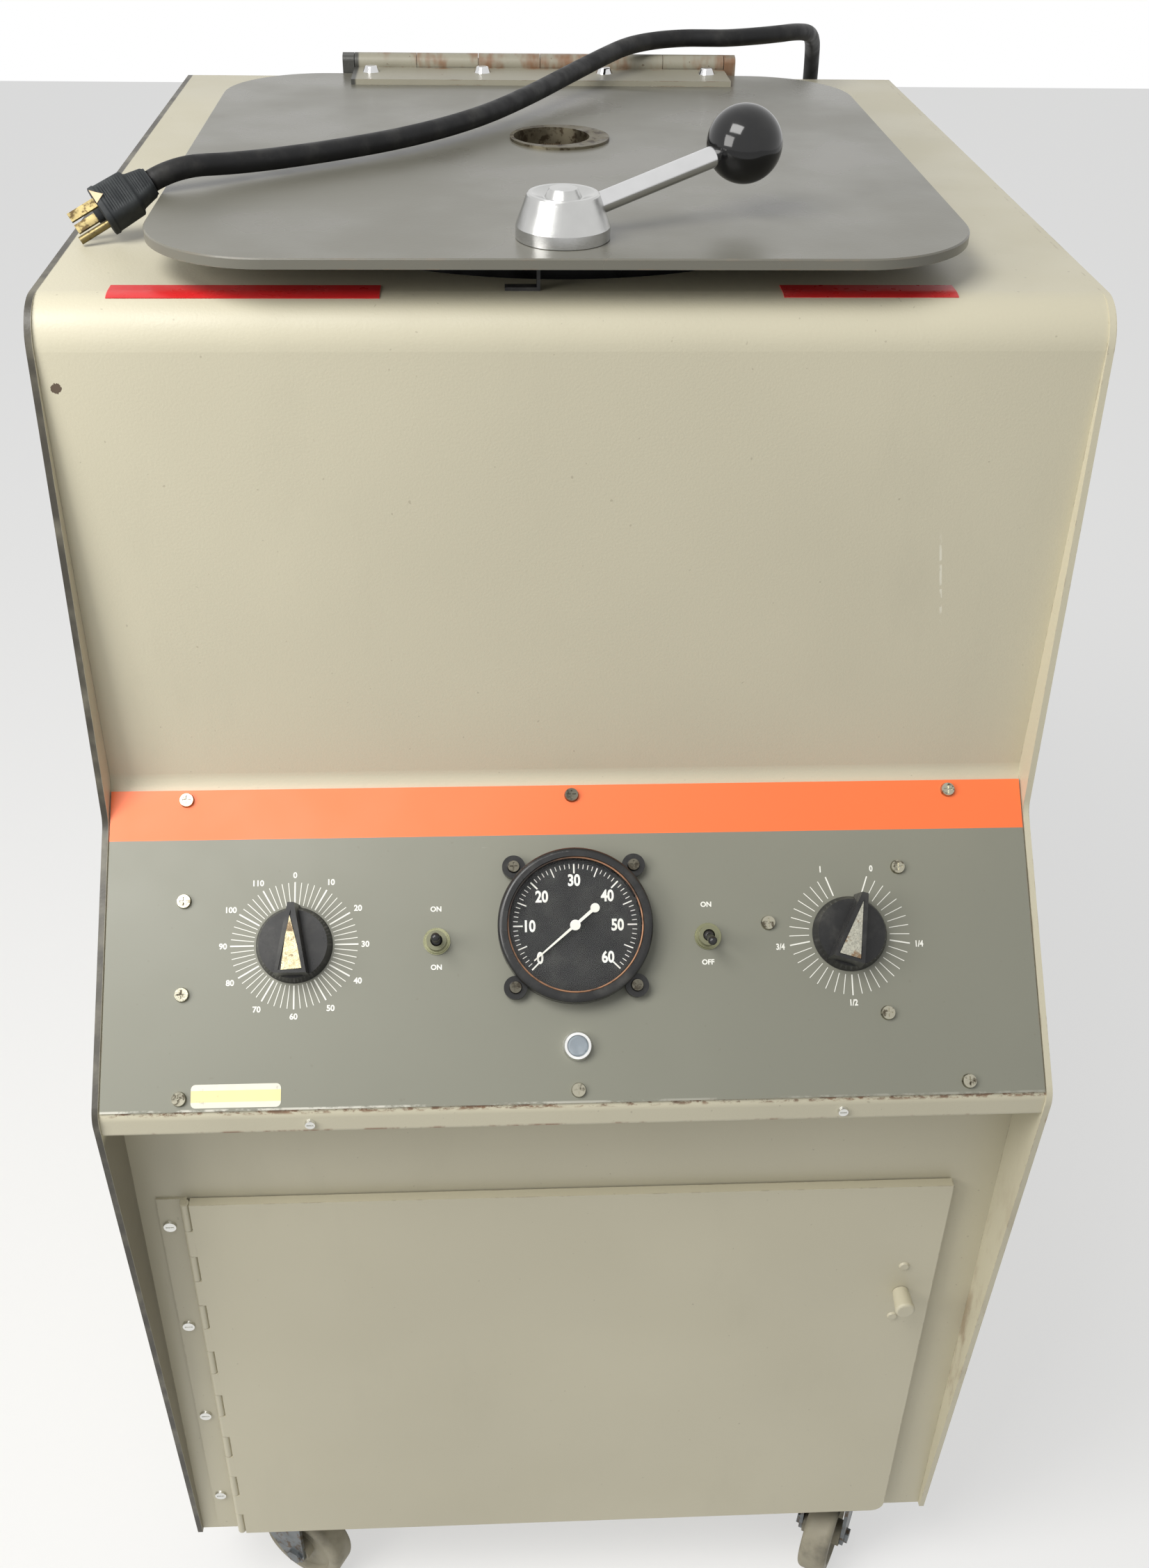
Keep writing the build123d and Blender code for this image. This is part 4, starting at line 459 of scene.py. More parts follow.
def make_world():
    """White where the camera, mirrors or glass look past the floor, and a dim even light for the rest."""
    world = bpy.data.worlds.new("studio")
    bpy.context.scene.world = world
    world.use_nodes = True
    tree = world.node_tree
    tree.nodes.clear()
    output = tree.nodes.new("ShaderNodeOutputWorld")
    blend = tree.nodes.new("ShaderNodeMixShader")
    room = tree.nodes.new("ShaderNodeBackground")
    room.inputs["Color"].default_value = (0.97, 0.985, 1.0, 1.0)
    room.inputs["Strength"].default_value = ROOM_LIGHT
    white = tree.nodes.new("ShaderNodeBackground")
    white.inputs["Color"].default_value = (1.0, 1.0, 1.0, 1.0)
    path = tree.nodes.new("ShaderNodeLightPath")
    last = path.outputs["Is Camera Ray"]
    for name in ("Is Glossy Ray", "Is Transmission Ray"):
        most = tree.nodes.new("ShaderNodeMath")
        most.operation = "MAXIMUM"
        tree.links.new(last, most.inputs[0])
        tree.links.new(path.outputs[name], most.inputs[1])
        last = most.outputs[0]
    tree.links.new(last, blend.inputs[0])
    tree.links.new(room.outputs[0], blend.inputs[1])
    tree.links.new(white.outputs[0], blend.inputs[2])
    tree.links.new(blend.outputs[0], output.inputs["Surface"])


def area_lamp(name, place, aim, size, power, colour):
    """A rectangular lamp, its place and aim in metres and its power in watts."""
    data = bpy.data.lights.new(name, "AREA")
    data.shape = "RECTANGLE"
    data.size, data.size_y = size
    data.energy = power
    data.color = colour
    lamp = bpy.data.objects.new(name, data)
    lamp.location = place
    lamp.rotation_euler = (Vector(aim) - Vector(place)).to_track_quat("-Z", "Y").to_euler()
    bpy.context.scene.collection.objects.link(lamp)


bpy.context.scene.view_settings.view_transform = "Standard"
make_stage()
make_world()
area_lamp("key_softbox", place=(-1.25, -0.95, 1.5), aim=(-0.15, -0.25, 0.75), size=(0.8, 0.8), power=14.5,
          colour=(1.0, 0.985, 0.96))
area_lamp("top_softbox", place=(-0.85, -0.95, 2.6), aim=(-0.1, -0.15, 1.1), size=(1.2, 0.8), power=31.0,
          colour=(1.0, 0.99, 0.97))


# Mains cord: one smooth line over the lid and down behind the cabinet, plug end first

CORD_ROUTE = [
    (-252, -96, 1120), (-237.4, -90, 1127.5), (-203, -66, 1123.5), (-156, -34, 1122.5), (-102, 6, 1123),
    (-54, 62, 1124), (-17, 123, 1127), (14, 180, 1130.5), (42, 228, 1134), (62, 258, 1136.5),
    (86, 280, 1137), (111, 291, 1137), (129, 291, 1137), (147, 291, 1137), (184, 305, 1137.5),
    (214, 334, 1136), (231, 374, 1126), (239, 410, 1100), (243, 431, 1054), (244, 438, 990),
    (246, 438, 860), (250, 440, 700), (250, 446, 540), (254, 456, 400), (252, 472, 272),
    (214, 490, 206), (142, 508, 204), (98, 522, 260), (90, 522, 346), (90, 476, 400), (90, 415.5, 400),
]


def smooth_line(name, points):
    """Points in metres along a NURBS spline that has the given control points, in millimetres."""
    curve = bpy.data.curves.new(name, "CURVE")
    curve.dimensions = "3D"
    spline = curve.splines.new("NURBS")
    spline.points.add(len(points) - 1)
    for point, place in zip(spline.points, points):
        point.co = (*(Vector(place) * MM), 1.0)
    spline.order_u = 3
    spline.use_endpoint_u = True
    spline.resolution_u = 10
    holder = bpy.data.objects.new(name, curve)
    bpy.context.scene.collection.objects.link(holder)
    bpy.context.view_layer.update()
    mesh = bpy.data.meshes.new_from_object(holder.evaluated_get(bpy.context.evaluated_depsgraph_get()))
    line = [v.co.copy() for v in mesh.vertices]
    bpy.data.objects.remove(holder)
    bpy.data.meshes.remove(mesh)
    return line


def tube(name, line, radius, material, sides=20):
    """A round tube in metres round the line, its rings kept from twisting."""
    points, faces = [], []
    side = None
    for index, centre in enumerate(line):
        ahead = (line[min(index + 1, len(line) - 1)] - line[max(index - 1, 0)]).normalized()
        if side is None:
            side = ahead.orthogonal().normalized()
        side = (side - ahead * side.dot(ahead)).normalized()
        up = ahead.cross(side)
        points += [(centre + (side * cos(2 * pi * k / sides) + up * sin(2 * pi * k / sides)) * radius) / MM
                   for k in range(sides)]
    for row in range(len(line) - 1):
        for k in range(sides):
            j = (k + 1) % sides
            faces.append((row * sides + k, row * sides + j, (row + 1) * sides + j, (row + 1) * sides + k))
    faces.append(tuple(reversed(range(sides))))
    faces.append(tuple(range((len(line) - 1) * sides, len(line) * sides)))
    return mesh_object(name, points, faces, material, smooth=True)


# Distances back from the plug's face, each with the half width and half height there, in millimetres
PLUG_OUTLINE = [
    (0.0, 9.8, 13.6), (0.5, 10.8, 14.6), (3.4, 10.9, 14.8), (4.2, 10.4, 14.2), (21.6, 10.0, 13.6),
    (22.4, 9.4, 12.8), (23.0, 8.3, 11.4), (24.0, 7.9, 10.8), (33.2, 7.5, 8.6), (34.4, 6.9, 7.6),
]
CHEEK_RIBS = (5.0, 21.3)      # where ribs begin and end, back from the face
SLEEVE_RIBS = (24.6, 33.0)
RIB_PITCH = 1.55
RIB_DEPTH = 0.55
PLUG_SIDES = 72
PLUG_CHEEK = 10.95            # from the plug's middle to the scrap of fibre on its cheek


def plug_size(back):
    """Half width and half height of the plug at a distance back from its face."""
    high = next((k for k, entry in enumerate(PLUG_OUTLINE) if entry[0] >= back), len(PLUG_OUTLINE) - 1)
    after, before = PLUG_OUTLINE[high], PLUG_OUTLINE[max(high - 1, 0)]
    span = after[0] - before[0]
    share = min(1.0, (back - before[0]) / span) if span else 0.0
    return [before[k] + (after[k] - before[k]) * share for k in (1, 2)]


def squared(value):
    """A cosine or sine drawn toward 1, which turns a circle into a rounded square."""
    return abs(value) ** 0.6 * (1 if value > 0 else -1)


def plug_ring(back, along, across, up):
    """One section of the plug, its cheeks cut in where the ribs' grooves are."""
    wide, tall = plug_size(back)
    ribbed = CHEEK_RIBS[0] < back < CHEEK_RIBS[1] or SLEEVE_RIBS[0] < back < SLEEVE_RIBS[1]
    depth = RIB_DEPTH * (0.5 + 0.5 * cos(2 * pi * back / RIB_PITCH)) if ribbed else 0.0
    ring = []
    for k in range(PLUG_SIDES):
        a = 2 * pi * (k + 0.5) / PLUG_SIDES
        x = squared(cos(a))
        y = squared(sin(a))
        flatness = max(0.0, min(1.0, (abs(x) - 0.86) / 0.08))
        inward = wide - depth * flatness
        ring.append(PLUG_FACE - along * back + across * (x * inward) + up * (y * tall))
    return ring


def make_plug():
    """The moulded plug: flat ribbed cheeks, a stepped ribbed sleeve and a boss round one blade."""
    along = (PLUG_FACE - PLUG_BACK).normalized()
    level = UP.cross(along).normalized()
    across = level * cos(radians(PLUG_ROLL)) + along.cross(level) * sin(radians(PLUG_ROLL))
    up = along.cross(across)
    length = (PLUG_FACE - PLUG_BACK).length
    shapes = Shapes()
    stations = [0.0, 0.25, 0.5] + [0.5 + 0.3 * k for k in range(1, 114)] + [length]
    rings = [plug_ring(back, along, across, up) for back in stations]
    sides = PLUG_SIDES
    last = (len(rings) - 1) * sides
    walls = [(row + k, row + (k + 1) % sides, row + sides + (k + 1) % sides, row + sides + k)
             for row in range(0, last, sides) for k in range(sides)]
    ends = [tuple(reversed(range(sides))), tuple(range(last, last + sides))]
    shapes.add([p for ring in rings for p in ring], walls + ends)
    boss = [PLUG_FACE + across * x + up * y
            for x, y in ((-9.0, -1.4), (-9.0, 7.4), (-3.8, 7.4), (-3.8, -1.4))]
    shapes.prism([p - along * 0.5 for p in boss], along * 4.5)
    rubber = plastic("plug_rubber", rgb(34, 37, 39), rough=0.6, marks=0.12, dust=0.3,
                     dust_colour=rgb(96, 100, 100), gloss=0.3)
    plug = shapes.make("plug_moulding", "lid", rubber, smooth=True, angle=40)
    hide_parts("plug_body")
    scrap = Shapes()
    scrap.prism([PLUG_FACE + across * PLUG_CHEEK + up * high - along * back
                 for high, back in ((9.0, 0.6), (-1.2, 0.4), (2.0, 6.4), (5.4, 3.4))], across * 0.35)
    fibre = plastic("fibre_washer", rgb(222, 196, 158), rough=0.7, marks=0.3, dust=0.3)
    scrap_piece = scrap.make("plug_fibre", "lid", fibre)
    return [plug, scrap_piece]


cord_black = plastic("cord_jacket", rgb(24, 24, 25), rough=0.5, marks=0.05, dust=0.1, gloss=0.25)
cord_line = smooth_line("cord_route", CORD_ROUTE)
cord = tube("mains_cord", cord_line, CORD_R * MM, cord_black)
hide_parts("cord_over_lid", "cord_behind")
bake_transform(cord)
make_plug() + [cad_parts["plug_prongs"]]


# Finishes of the CAD nodes

CABINET = rgb(197, 191, 168)
LID_GREY = rgb(108, 106, 96)
PLATE_GREY = rgb(128, 128, 115)
ORANGE = rgb(250, 120, 64)
RUST = rgb(128, 78, 44)


# Wear and painted shade on the cabinet; each function lays one kind over the tone, at places in metres of
# the frame

def seam_rust(f, tone):
    """Rust specks in the seam between the control plate and the lip."""
    down = f.along(DESK_DOWN, KINK * MM)
    seam = f.times(
        f.ramp(down, 0.1848, 0.1858),
        f.ramp(down, 0.1888, 0.1868),
        f.ramp(f.size(f.along(DESK_OUT, KINK * MM)), 0.008, 0.005),
        f.ramp(f.size(f.axis("X")), 0.3012, 0.3008),
    )
    specks = f.ramp(f.noise(240.0, 4.0, 0.7, f.stretched((0.5, 1.0, 1.0))), 0.46, 0.6, 0.0, 0.85)
    rust = f.mix(f.noise(90.0), rgb(54, 40, 30), rgb(140, 88, 48))
    return f.mix(f.times(seam, specks), tone, rust)


def lip_rust(f, tone):
    """A broken rust line on the underside of the lip."""
    under = f.times(
        f.ramp(f.axis("Z"), 0.6135, 0.611),
        f.ramp(f.axis("Y"), -0.372, -0.378),
        f.ramp(f.axis("Z"), 0.600, 0.604),
    )
    streak = f.ramp(f.noise(34.0, 4.0, 0.7, f.stretched((1.0, 0.3, 0.3))), 0.5, 0.62, 0.0, 0.8)
    return f.mix(f.times(under, streak), tone, RUST)


def painted_shade_left_hem(f, tone):
    """Painted shade: a near-black line on the left hem's edge, where the hem meets the cover in shadow, and
    a lighter painted shade on its inner face below the lip, which is turned away from the light.
    """
    facing = f.ramp(f.math("MAXIMUM", f.facing(FRONT), f.facing(UP)), 0.3, 0.6)
    edge = f.times(facing, f.ramp(f.axis("X"), -0.3006, -0.3014))
    patchy = f.ramp(f.noise(40.0, 3.0), 0.25, 0.6, 0.75, 0.95)
    # painted shade along the left hem's edge, broken up by noise
    tone = f.mix(f.times(edge, patchy), tone, rgb(40, 36, 30))
    # painted shade on the inner face of the left hem below the lip
    inside = f.times(f.facing(RIGHT), f.ramp(f.axis("Z"), 0.61, 0.60, 0.0, 0.7))
    return f.mix(f.times(inside, f.ramp(f.axis("X"), -0.296, -0.2985)), tone, rgb(84, 76, 62))


def stained_right_hem(f, tone):
    """Brown stains on the right hem, stronger toward the floor."""
    inward = f.ramp(f.math("MAXIMUM", f.facing(FRONT), f.facing(LEFT)), 0.3, 0.6)
    hem = f.times(f.ramp(f.axis("X"), 0.290, 0.3005), f.ramp(f.axis("Z"), 0.62, 0.2))
    hem = f.times(hem, f.times(inward, f.ramp(f.axis("Y"), -0.26, -0.30)))
    stain = f.ramp(f.noise(30.0, 5.0, 0.7, f.stretched((1.0, 1.0, 0.35))), 0.48, 0.66, 0.0, 0.75)
    return f.mix(f.times(hem, stain), tone, rgb(126, 92, 58))


def front_chips(f, tone):
    """Two chips in the upper front, each a place and a reach."""
    for place, reach in (((-0.1602, -0.2305, 1.0773), 0.0055), ((-0.2925, -0.2305, 1.0412), 0.006)):
        spot = f.math("GREATER_THAN", f.times(f.near(place, reach), f.noise(420.0, 3.0, 0.7)), 0.24)
        tone = f.mix(spot, tone, rgb(88, 74, 60))
    return tone


def long_scratch(f, tone):
    """A pale, nearly upright scratch on the right of the upper front."""
    lean = f.along(Vector((0.989, 0.0, 0.147)), Vector((0.2238, -0.2305, 0.9379)))
    thin = f.math("LESS_THAN", f.size(lean), 0.0007)
    long = f.times(f.ramp(f.axis("Z"), 0.885, 0.90), f.ramp(f.axis("Z"), 0.952, 0.935))
    broken = f.ramp(f.noise(160.0, 3.0), 0.42, 0.5, 0.0, 0.5)
    mark = f.times(thin, long, broken)
    return f.mix(f.times(mark, f.ramp(f.axis("Y"), -0.20, -0.229)), tone, rgb(236, 234, 220))


def cabinet_wear_and_shade(f, tone):
    # real rust, stains, chips and a scratch, and the painted shade on the left hem
    for layer in (seam_rust, lip_rust, painted_shade_left_hem, stained_right_hem, front_chips, long_scratch):
        tone = layer(f, tone)
    return tone


def band_and_scratches(f, tone):
    """The orange band along the plate's top edge, fine pale scratches, and a bare lower rim on the left."""
    down = f.along(DESK_DOWN, KINK * MM)
    band = f.math("LESS_THAN", down, BAND_EDGE * MM)
    fade = f.mix(f.ramp(f.noise(6.0, 3.0), 0.3, 0.7), ORANGE, shade(ORANGE, 0.93))
    tone = f.mix(band, tone, fade)
    scratch = f.ramp(f.noise(14.0, 6.0, 0.8, f.stretched((0.35, 1.5, 1.5))), 0.70, 0.74, 0.0, 0.6)
    tone = f.mix(scratch, tone, rgb(178, 178, 166))
    rim = f.times(f.ramp(down, 0.1838, 0.1846), f.ramp(f.axis("X"), 0.12, -0.16, 0.25, 1.0))
    bare = f.ramp(f.noise(48.0, 5.0, 0.75, f.stretched((0.6, 1.0, 1.0))), 0.46, 0.56)
    return f.mix(f.times(rim, bare), tone, rgb(198, 196, 184))


def hinge_wear(f, tone):
    """Rust on the knuckles and a dark, bare cheek at the barrel's left end."""
    high = f.times(f.ramp(f.axis("Z"), 1.1115, 1.1145), f.ramp(f.axis("Y"), 0.260, 0.264))
    patchy = f.ramp(f.noise(26.0, 4.0, 0.7, f.stretched((1.0, 0.5, 0.5))), 0.44, 0.6, 0.0, 0.85)
    tone = f.mix(f.times(high, patchy), tone, rgb(122, 84, 54))
    return f.mix(f.ramp(f.axis("X"), -0.1485, -0.1505), tone, rgb(66, 66, 62))


def dull_screws(f, tone):
    """The four screws in the tachometer's lugs are dark with age, the two in the lip are bright."""
    gauge = f.math("GREATER_THAN", f.near(desk(*GAUGE) * MM, 0.2), 0.55)
    tone = f.mix(f.times(gauge, 0.75), tone, rgb(74, 70, 62))
    return f.mix(f.ramp(f.along(DESK_DOWN, KINK * MM), 0.186, 0.188), tone, rgb(226, 226, 222))


def black_rim(f, tone):
    """The bowl's rim is painted black where the lid's gasket meets it."""
    return f.mix(f.ramp(f.axis("Z"), 1.084, 1.086), tone, rgb(28, 28, 28))


def bare_bushing(f, tone):
    """Nickel on the threaded part that stands above the plate, brown moulding behind it."""
    return f.mix(f.ramp(f.along(DESK_OUT, KINK * MM), -0.0005, 0.0), tone, rgb(118, 118, 92))


def lamp_chrome(f, tone):
    """Bright chrome on the pilot lamp's bezel, dull nickel elsewhere."""
    return f.mix(f.math("GREATER_THAN", f.near(desk(*LAMP) * MM, 0.04), 0.4), tone, rgb(226, 226, 224))


cabinet_paint = enamel("cabinet_enamel", CABINET, extra=cabinet_wear_and_shade)
panel_paint = enamel("panel_enamel", shade(CABINET, 0.97), rough=0.4, peel=0.16)
plate_paint = enamel("plate_enamel", PLATE_GREY, rough=0.4, peel=0.05, dirt=0.25, chips=0.5,
                     extra=band_and_scratches)
lid_paint = enamel("lid_enamel", LID_GREY, rough=0.3, peel=0.12, dirt=0.3, chips=0.6)
hinge_paint = enamel("hinge_enamel", rgb(150, 146, 130), rough=0.4, dirt=1.4, chips=1.0, extra=hinge_wear)
screw_metal = metal("screw_nickel", rgb(172, 168, 150), 0.22, stain=rgb(62, 52, 36), stain_share=0.5,
                    extra=dull_screws)
bright_chrome = metal("bright_chrome", rgb(214, 214, 214), 0.12, marks=0.03)
nut_metal = metal("dull_nickel", rgb(136, 136, 108), 0.28, stain=rgb(70, 68, 48), stain_share=0.2,
                  extra=lamp_chrome)
bat_black = plastic("bat_phenolic", rgb(26, 26, 27), rough=0.3, dust=0.12)
knob_black = plastic("knob_phenolic", rgb(34, 34, 34), rough=0.3, dust=0.18, gloss=0.35)
ball_black = plastic("ball_phenolic", rgb(16, 16, 17), rough=0.1, marks=0.01, dust=0.04)
brown_phenolic = plastic("body_phenolic", rgb(66, 46, 34), rough=0.5)
switch_body = plastic("switch_body", rgb(66, 46, 34), rough=0.35, dust=0.1, extra=bare_bushing)
gauge_black = plastic("gauge_case_black", rgb(32, 32, 32), rough=0.25, dust=0.14, gloss=0.4)
needle_white = plastic("needle_white", rgb(238, 236, 224), rough=0.4, dust=0.05)
bowl_steel = metal("spun_steel", rgb(176, 176, 174), 0.34, grain=(1.0, 1.0, 12.0), extra=black_rim)
# black rubber for the gasket; the latch keeper takes it too, as painted shade that hides it in the shadow
# under the lid
gasket_black_and_keeper_shade = plastic("gasket_rubber", rgb(30, 30, 30), rough=0.6)
turned_steel = metal("turned_steel", rgb(196, 196, 194), 0.2, grain=(1.0, 1.0, 14.0), marks=0.2)
# the latch cam is near-black as painted shade, so that it merges with the shadow under the lid's front
cam_shade_black = metal("cam_painted_shade", rgb(44, 44, 43), 0.45)
ring_metal = metal("oxidised_ring", rgb(112, 106, 90), 0.45, stain=rgb(60, 50, 38), stain_share=0.5)
shaft_steel = metal("ground_steel", rgb(176, 176, 176), 0.22, grain=(1.0, 1.0, 14.0))
head_alloy = metal("cast_alloy", rgb(182, 184, 186), 0.38)
motor_grey = enamel("motor_enamel", rgb(74, 76, 78), rough=0.5, peel=0.5, dirt=0.8)
mount_black = plastic("mount_rubber", rgb(34, 34, 34), rough=0.7)
shelf_grey = enamel("shelf_primer", rgb(126, 126, 122), rough=0.6)
caster_zinc = metal("caster_zinc", rgb(120, 124, 126), 0.42, stain=rgb(96, 78, 58), stain_share=0.5)
wheel_cream = plastic("wheel_resin", rgb(150, 144, 126), rough=0.6, marks=0.3, dust=0.6,
                      dust_colour=rgb(84, 80, 70))
plug_black = plastic("plug_rubber", rgb(46, 47, 47), rough=0.55, marks=0.2, dust=0.35)
brass = metal("worn_brass", rgb(124, 112, 78), 0.36, stain=rgb(60, 48, 32), stain_share=0.55)
drawn_steel = metal("drawn_steel", rgb(190, 190, 190), 0.28, grain=(1.0, 1.0, 10.0))


def glass(name, colour, rough, share):
    """Clear or frosted glass that stays see-through without bending the light."""
    f = Finish(name, roughness=rough, transmission_weight=share, ior=1.2)
    f.set("Base Color", f.mix(f.noise(40.0), colour, shade(colour, 0.96)))
    f.bump(f.noise(60.0, 2.0), 0.02, 0.0002)
    return f.material


gauge_glass = glass("gauge_glass", (1.0, 1.0, 1.0, 1.0), 0.02, 1.0)
lamp_glass = glass("lamp_lens", rgb(196, 206, 214), 0.3, 0.55)


WIRE_PITCH = 0.0016


def wire_mesh():
    """Dark woven wire: two sets of fine ridges, near-black in the gaps as painted shade and brown on the
    crests.
    """
    f = Finish("wire_cloth", metallic=0.6, roughness=0.5)
    weave = [f.math("SINE", f.times(f.axis(name), 2.0 * pi / WIRE_PITCH)) for name in "XY"]
    height = f.math("MAXIMUM", *weave)
    # painted shade: the colour follows the weave's height, near-black between the wires and brown on their
    # crests
    f.set("Base Color", f.mix(f.ramp(height, -0.2, 0.9), rgb(18, 14, 10), rgb(96, 78, 58)))
    f.bump(height, 0.6, 0.0006)
    return f.material


wire_cloth = wire_mesh()

NODE_FINISH = {
    cabinet_paint: ["side_panel_left", "side_panel_right", "top_cover", "back_panel", "base_plate"],
    panel_paint: ["lower_front_panel", "door", "door_hinge_leaf", "door_knob"],
    plate_paint: ["control_plate"],
    lid_paint: ["lid"],
    hinge_paint: ["lid_hinge_base", "lid_hinge_leaf"],
    screw_metal: ["panel_screws", "door_hinge_screws"],
    bright_chrome: ["lid_hinge_screws", "lever_rod"],
    nut_metal: ["panel_nuts"],
    bat_black: ["power_bat", "brake_bat"],
    knob_black: ["timer_knob", "speed_knob", "cord_gland"],
    ball_black: ["ball_knob"],
    brown_phenolic: ["timer_body", "speed_control_body"],
    switch_body: ["toggle_bodies"],
    gauge_black: ["gauge_case"],
    needle_white: ["gauge_pointer"],
    gauge_glass: ["gauge_glass"],
    lamp_glass: ["lamp_lens"],
    bowl_steel: ["chamber_bowl"],
    # the latch keeper wears the gasket's black as painted shade under the lid
    gasket_black_and_keeper_shade: ["chamber_gasket", "latch_keeper"],
    turned_steel: ["latch_hub"],
    cam_shade_black: ["latch_cam"],
    ring_metal: ["sight_ring"],
    wire_cloth: ["sight_screen"],
    shaft_steel: ["rotor_shaft"],
    head_alloy: ["rotor_head"],
    drawn_steel: [f"bucket_{k}" for k in (1, 2, 3, 4)],
    motor_grey: ["motor"],
    mount_black: ["motor_mounts"],
    shelf_grey: ["motor_shelf"],
    caster_zinc: ["caster_plates"] + [f"caster_fork_{k}" for k in CASTERS],
    wheel_cream: [f"caster_wheel_{k}" for k in CASTERS],
    cord_black: ["cord_over_lid", "cord_behind"],
    plug_black: ["plug_body"],
    brass: ["plug_prongs"],
}
for material, names in NODE_FINISH.items():
    for name in names:
        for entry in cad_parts[name].material_slots:
            entry.material = material


# Printed scales and figures on the control plate

PRINT_GAP = 0.02    # between a surface and the print on it
print_white = plastic("print_white", rgb(240, 239, 230), rough=0.5, marks=0.02, dust=0.12)


def make_timer_scale():
    """Sixty ticks, every fifth one stronger, and the figures 0 to 110 clockwise from the top."""
    marks = Shapes()
    for index in range(60):
        outer, width = (40.9, 0.95) if index % 5 == 0 else (40.6, 0.5)
        desk_tick(marks, TIMER, 6 * index, 25.8, outer, width, PRINT_GAP)
    for index in range(12):
        angle = 30 * index
        reach = 45.4 + 1.6 * abs(sin(2 * radians(angle)))
        desk_figures(marks, str(10 * index), *desk_around(TIMER, angle, reach), 4.0, PRINT_GAP)
    marks.make("timer_scale", "cabinet", print_white)


def make_speed_scale():
    """Thirty-seven ticks over 320 degrees and the figures 0 to 1 in quarters."""
    marks = Shapes()
    for index in range(37):
        outer, width = (40.0, 0.85) if index % 9 == 0 else (39.5, 0.5)
        desk_tick(marks, SPEED, 20.0 + index * 320.0 / 36, 26.6, outer, width, PRINT_GAP)
    for text, angle, reach in (("0", 21.5, 46.0), ("1/4", 99.0, 46.3), ("1/2", 179.5, 44.6),
                               ("3/4", -99.5, 46.3), ("1", -21.5, 46.0)):
        desk_figures(marks, text, *desk_around(SPEED, angle, reach), 4.2, PRINT_GAP, narrow=0.82)
    marks.make("speed_scale", "cabinet", print_white)


def make_switch_words():
    """The word above and the word below each toggle."""
    marks = Shapes()
    for place, below in ((POWER, "ON"), (BRAKE, "OFF")):
        for word, down in (("ON", -21.0), (below, 16.6)):
            desk_figures(marks, word, place[0] - 0.4, place[1] + down, 3.5, PRINT_GAP)
    marks.make("switch_words", "cabinet", print_white)


make_timer_scale()
make_speed_scale()
make_switch_words()


# Tachometer face

DIAL_RISE = 6.5        # the case's floor above the desk
DIAL_R = 42.3
DIAL_HOLE_R = 2.2
DIAL_SHEET = 0.3
RING_R = 43.3          # to the middle of the ring's round wire
RING_RISE = 13.68
RING_WIRE_R = 0.62


def make_gauge_face():
    """The black dial, its ticks and the figures 0 to 60."""
    low, high = DIAL_RISE + PRINT_GAP, DIAL_RISE + DIAL_SHEET
    disc = Shapes()
    disc.turned([(DIAL_R, low), (DIAL_R, high), (DIAL_HOLE_R, high), (DIAL_HOLE_R, low)],
                desk(*GAUGE), DESK_OUT, RIGHT)
    face = plastic("dial_black", rgb(31, 32, 32), rough=0.5, marks=0.03, dust=0.12, gloss=0.3)
    disc.make("gauge_face", "cabinet", face)
    marks = Shapes()
    rise = high + PRINT_GAP
    for index in range(61):
        main = index % 5 == 0
        width = 0.95 if index % 10 == 0 else (0.75 if main else 0.45)
        desk_tick(marks, GAUGE, -135.0 + 4.5 * index, 33.8 if main else 37.0, 40.0, width, rise)
    for text, across, down in (("0", -23.0, 20.6), ("10", -29.0, 0.0), ("20", -21.2, -19.0),
                               ("30", 0.0, -29.4), ("40", 21.2, -19.0), ("50", 27.4, 0.0),
                               ("60", 20.6, 20.6)):
        desk_figures(marks, text, GAUGE[0] + across, GAUGE[1] + down, 7.9, rise, narrow=0.8)
    marks.make("gauge_scale", "cabinet", print_white)


def make_gauge_ring():
    """Thin retaining ring inside the bezel, rusted toward the lower right."""
    f = Finish("retaining_ring", metallic=0.3, roughness=0.5)
    side = f.ramp(f.along(RIGHT, desk(*GAUGE) * MM), -0.03, 0.03)
    patch = f.math("MAXIMUM", side, f.ramp(f.along(DESK_DOWN, desk(*GAUGE) * MM), -0.02, 0.035))
    rusty = f.times(patch, f.ramp(f.noise(120.0, 4.0), 0.25, 0.55))
    f.set("Base Color", f.mix(rusty, rgb(40, 33, 28), rgb(158, 116, 86)))
    f.bump(f.noise(700.0, 3.0), 0.3, 0.0003)
    ring = Shapes()
    profile = [(RING_R + RING_WIRE_R * cos(2 * pi * k / 10), RING_RISE + RING_WIRE_R * sin(2 * pi * k / 10))
               for k in range(10)]
    ring.turned(profile, desk(*GAUGE), DESK_OUT, RIGHT, 72)
    ring.make("gauge_retaining_ring", "cabinet", f.material, smooth=True)


make_gauge_face()
make_gauge_ring()


# Knob inlays: a wedge of worn metal foil in each pointer grip

INLAY_TIP = 19.2      # from the knob's axis to the point
INLAY_FOOT = 17.3     # from the axis to the wide end
INLAY_HALF = 6.9      # half the width of the wide end
INLAY_DEPTH = 1.2     # depth of the recess below the grip's top
INLAY_SHEET = 0.9     # thickness of the foil


def make_inlay(name, place, turn, body, material):
    """A thin foil wedge seated in the grip's recess, pointing at the turn's angle."""
    ray = desk_ray(turn)
    side = DESK_OUT.cross(ray)
    seat = desk(*place, KNOB_GAP + KNOB_HEIGHT - INLAY_DEPTH)
    tip = seat + ray * INLAY_TIP
    foot = seat - ray * INLAY_FOOT
    wedge = Shapes()
    wedge.prism([tip, foot + side * INLAY_HALF, foot - side * INLAY_HALF], DESK_OUT * INLAY_SHEET)
    wedge.make(name, body, material)


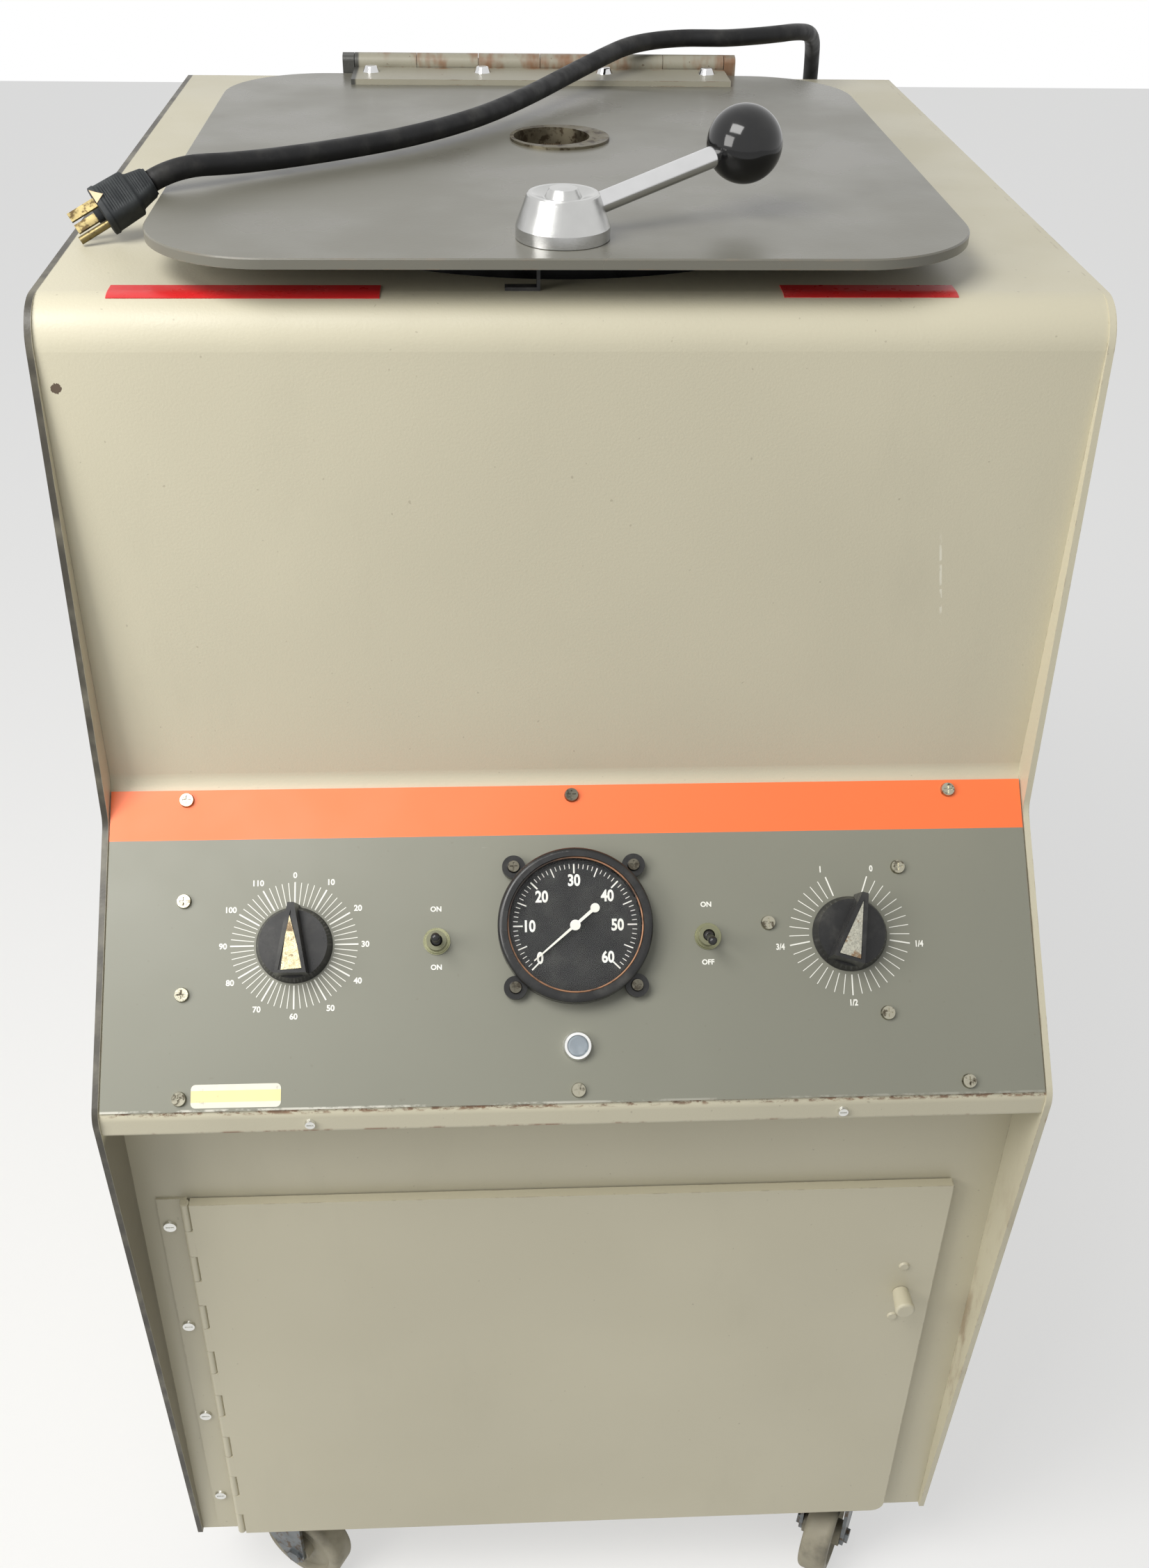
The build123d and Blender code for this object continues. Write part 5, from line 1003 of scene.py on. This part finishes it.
def foil(name, bright, worn, share):
    """Grainy metal foil, worn through in patches."""
    f = Finish(name, metallic=0.75)
    grains = f.ramp(f.noise(900.0, 3.0, 0.7), 0.42, 0.55)
    patch = f.ramp(f.noise(110.0, 4.0, 0.7), 0.62 - share, 0.74 - share)
    f.set("Base Color", f.mix(patch, f.mix(grains, shade(bright, 0.72), bright), worn))
    f.set("Roughness", f.ramp(f.noise(300.0), 0.3, 0.7, 0.3, 0.6))
    f.bump(f.noise(1200.0, 3.0), 0.5, 0.0003)
    return f.material


make_inlay("timer_knob_inlay", TIMER, TIMER_REST, "timer_knob",
           foil("gold_foil", rgb(204, 192, 156), rgb(120, 102, 78), 0.13))
make_inlay("speed_knob_inlay", SPEED, SPEED_REST, "speed_knob",
           foil("pale_foil", rgb(176, 174, 160), rgb(130, 108, 84), 0.1))


# Bare tapes where the top starts to bend down to the front, and the bare sticker on the plate

TAPE_GAP = 0.04    # the tape's lower and upper face above the sheet
TAPE_TOP = 0.5
tape_red = plastic("tape_red", rgb(208, 40, 42), rough=0.3, marks=0.05, dust=0.12)


def make_tape(name, left, right, start, end):
    """A red tape; start and end are millimetres along the sheet, 0 where the flat top starts to bend."""
    profile = []
    for index in range(13):
        reach = start + (end - start) * index / 12
        a = max(0.0, reach) / BEND_R
        profile.append((min(0.0, reach), sin(a), cos(a)))
    layers = ((BEND_R + TAPE_GAP, profile), (BEND_R + TAPE_TOP, profile[::-1]))
    section = [(flat + r * s, r * c) for r, row in layers for flat, s, c in row]
    tape = Shapes()
    tape.prism([Vector((left, BEND_CENTRE[0] - ahead, BEND_CENTRE[1] + high)) for ahead, high in section],
               Vector((right - left, 0, 0)))
    tape.make(name, "cabinet", tape_red)


def make_sticker():
    """A rounded label with a yellow middle band, left bare."""
    left, right, top, low, corner = -243.8, -187.6, 168.8, 183.4, 3.0
    ring = []
    for cx, cy, first in ((right - corner, top + corner, -90), (right - corner, low - corner, 0),
                          (left + corner, low - corner, 90), (left + corner, top + corner, 180)):
        for step in range(7):
            a = radians(first + 15 * step)
            ring.append(desk(cx + corner * cos(a), cy + corner * sin(a), PRINT_GAP))
    label = Shapes()
    label.prism(ring, DESK_OUT * INK)

    def band(f, tone):
        down = f.along(DESK_DOWN, desk(0.0, 176.2) * MM)
        yellow = f.math("LESS_THAN", f.size(down), 0.0036)
        tone = f.mix(yellow, tone, rgb(234, 222, 164))
        return f.mix(f.ramp(f.noise(120.0, 4.0, 0.7), 0.6, 0.72, 0.0, 0.5), tone, rgb(150, 140, 116))

    paper = plastic("sticker_paper", rgb(228, 226, 210), rough=0.5, marks=0.05, dust=0.2, extra=band)
    label.make("bare_sticker", "cabinet", paper)


make_tape("tape_left", -262.0, -111.0, -9.0, 9.0)
make_tape("tape_right", 116.5, 216.5, -10.0, 8.0)
make_sticker()
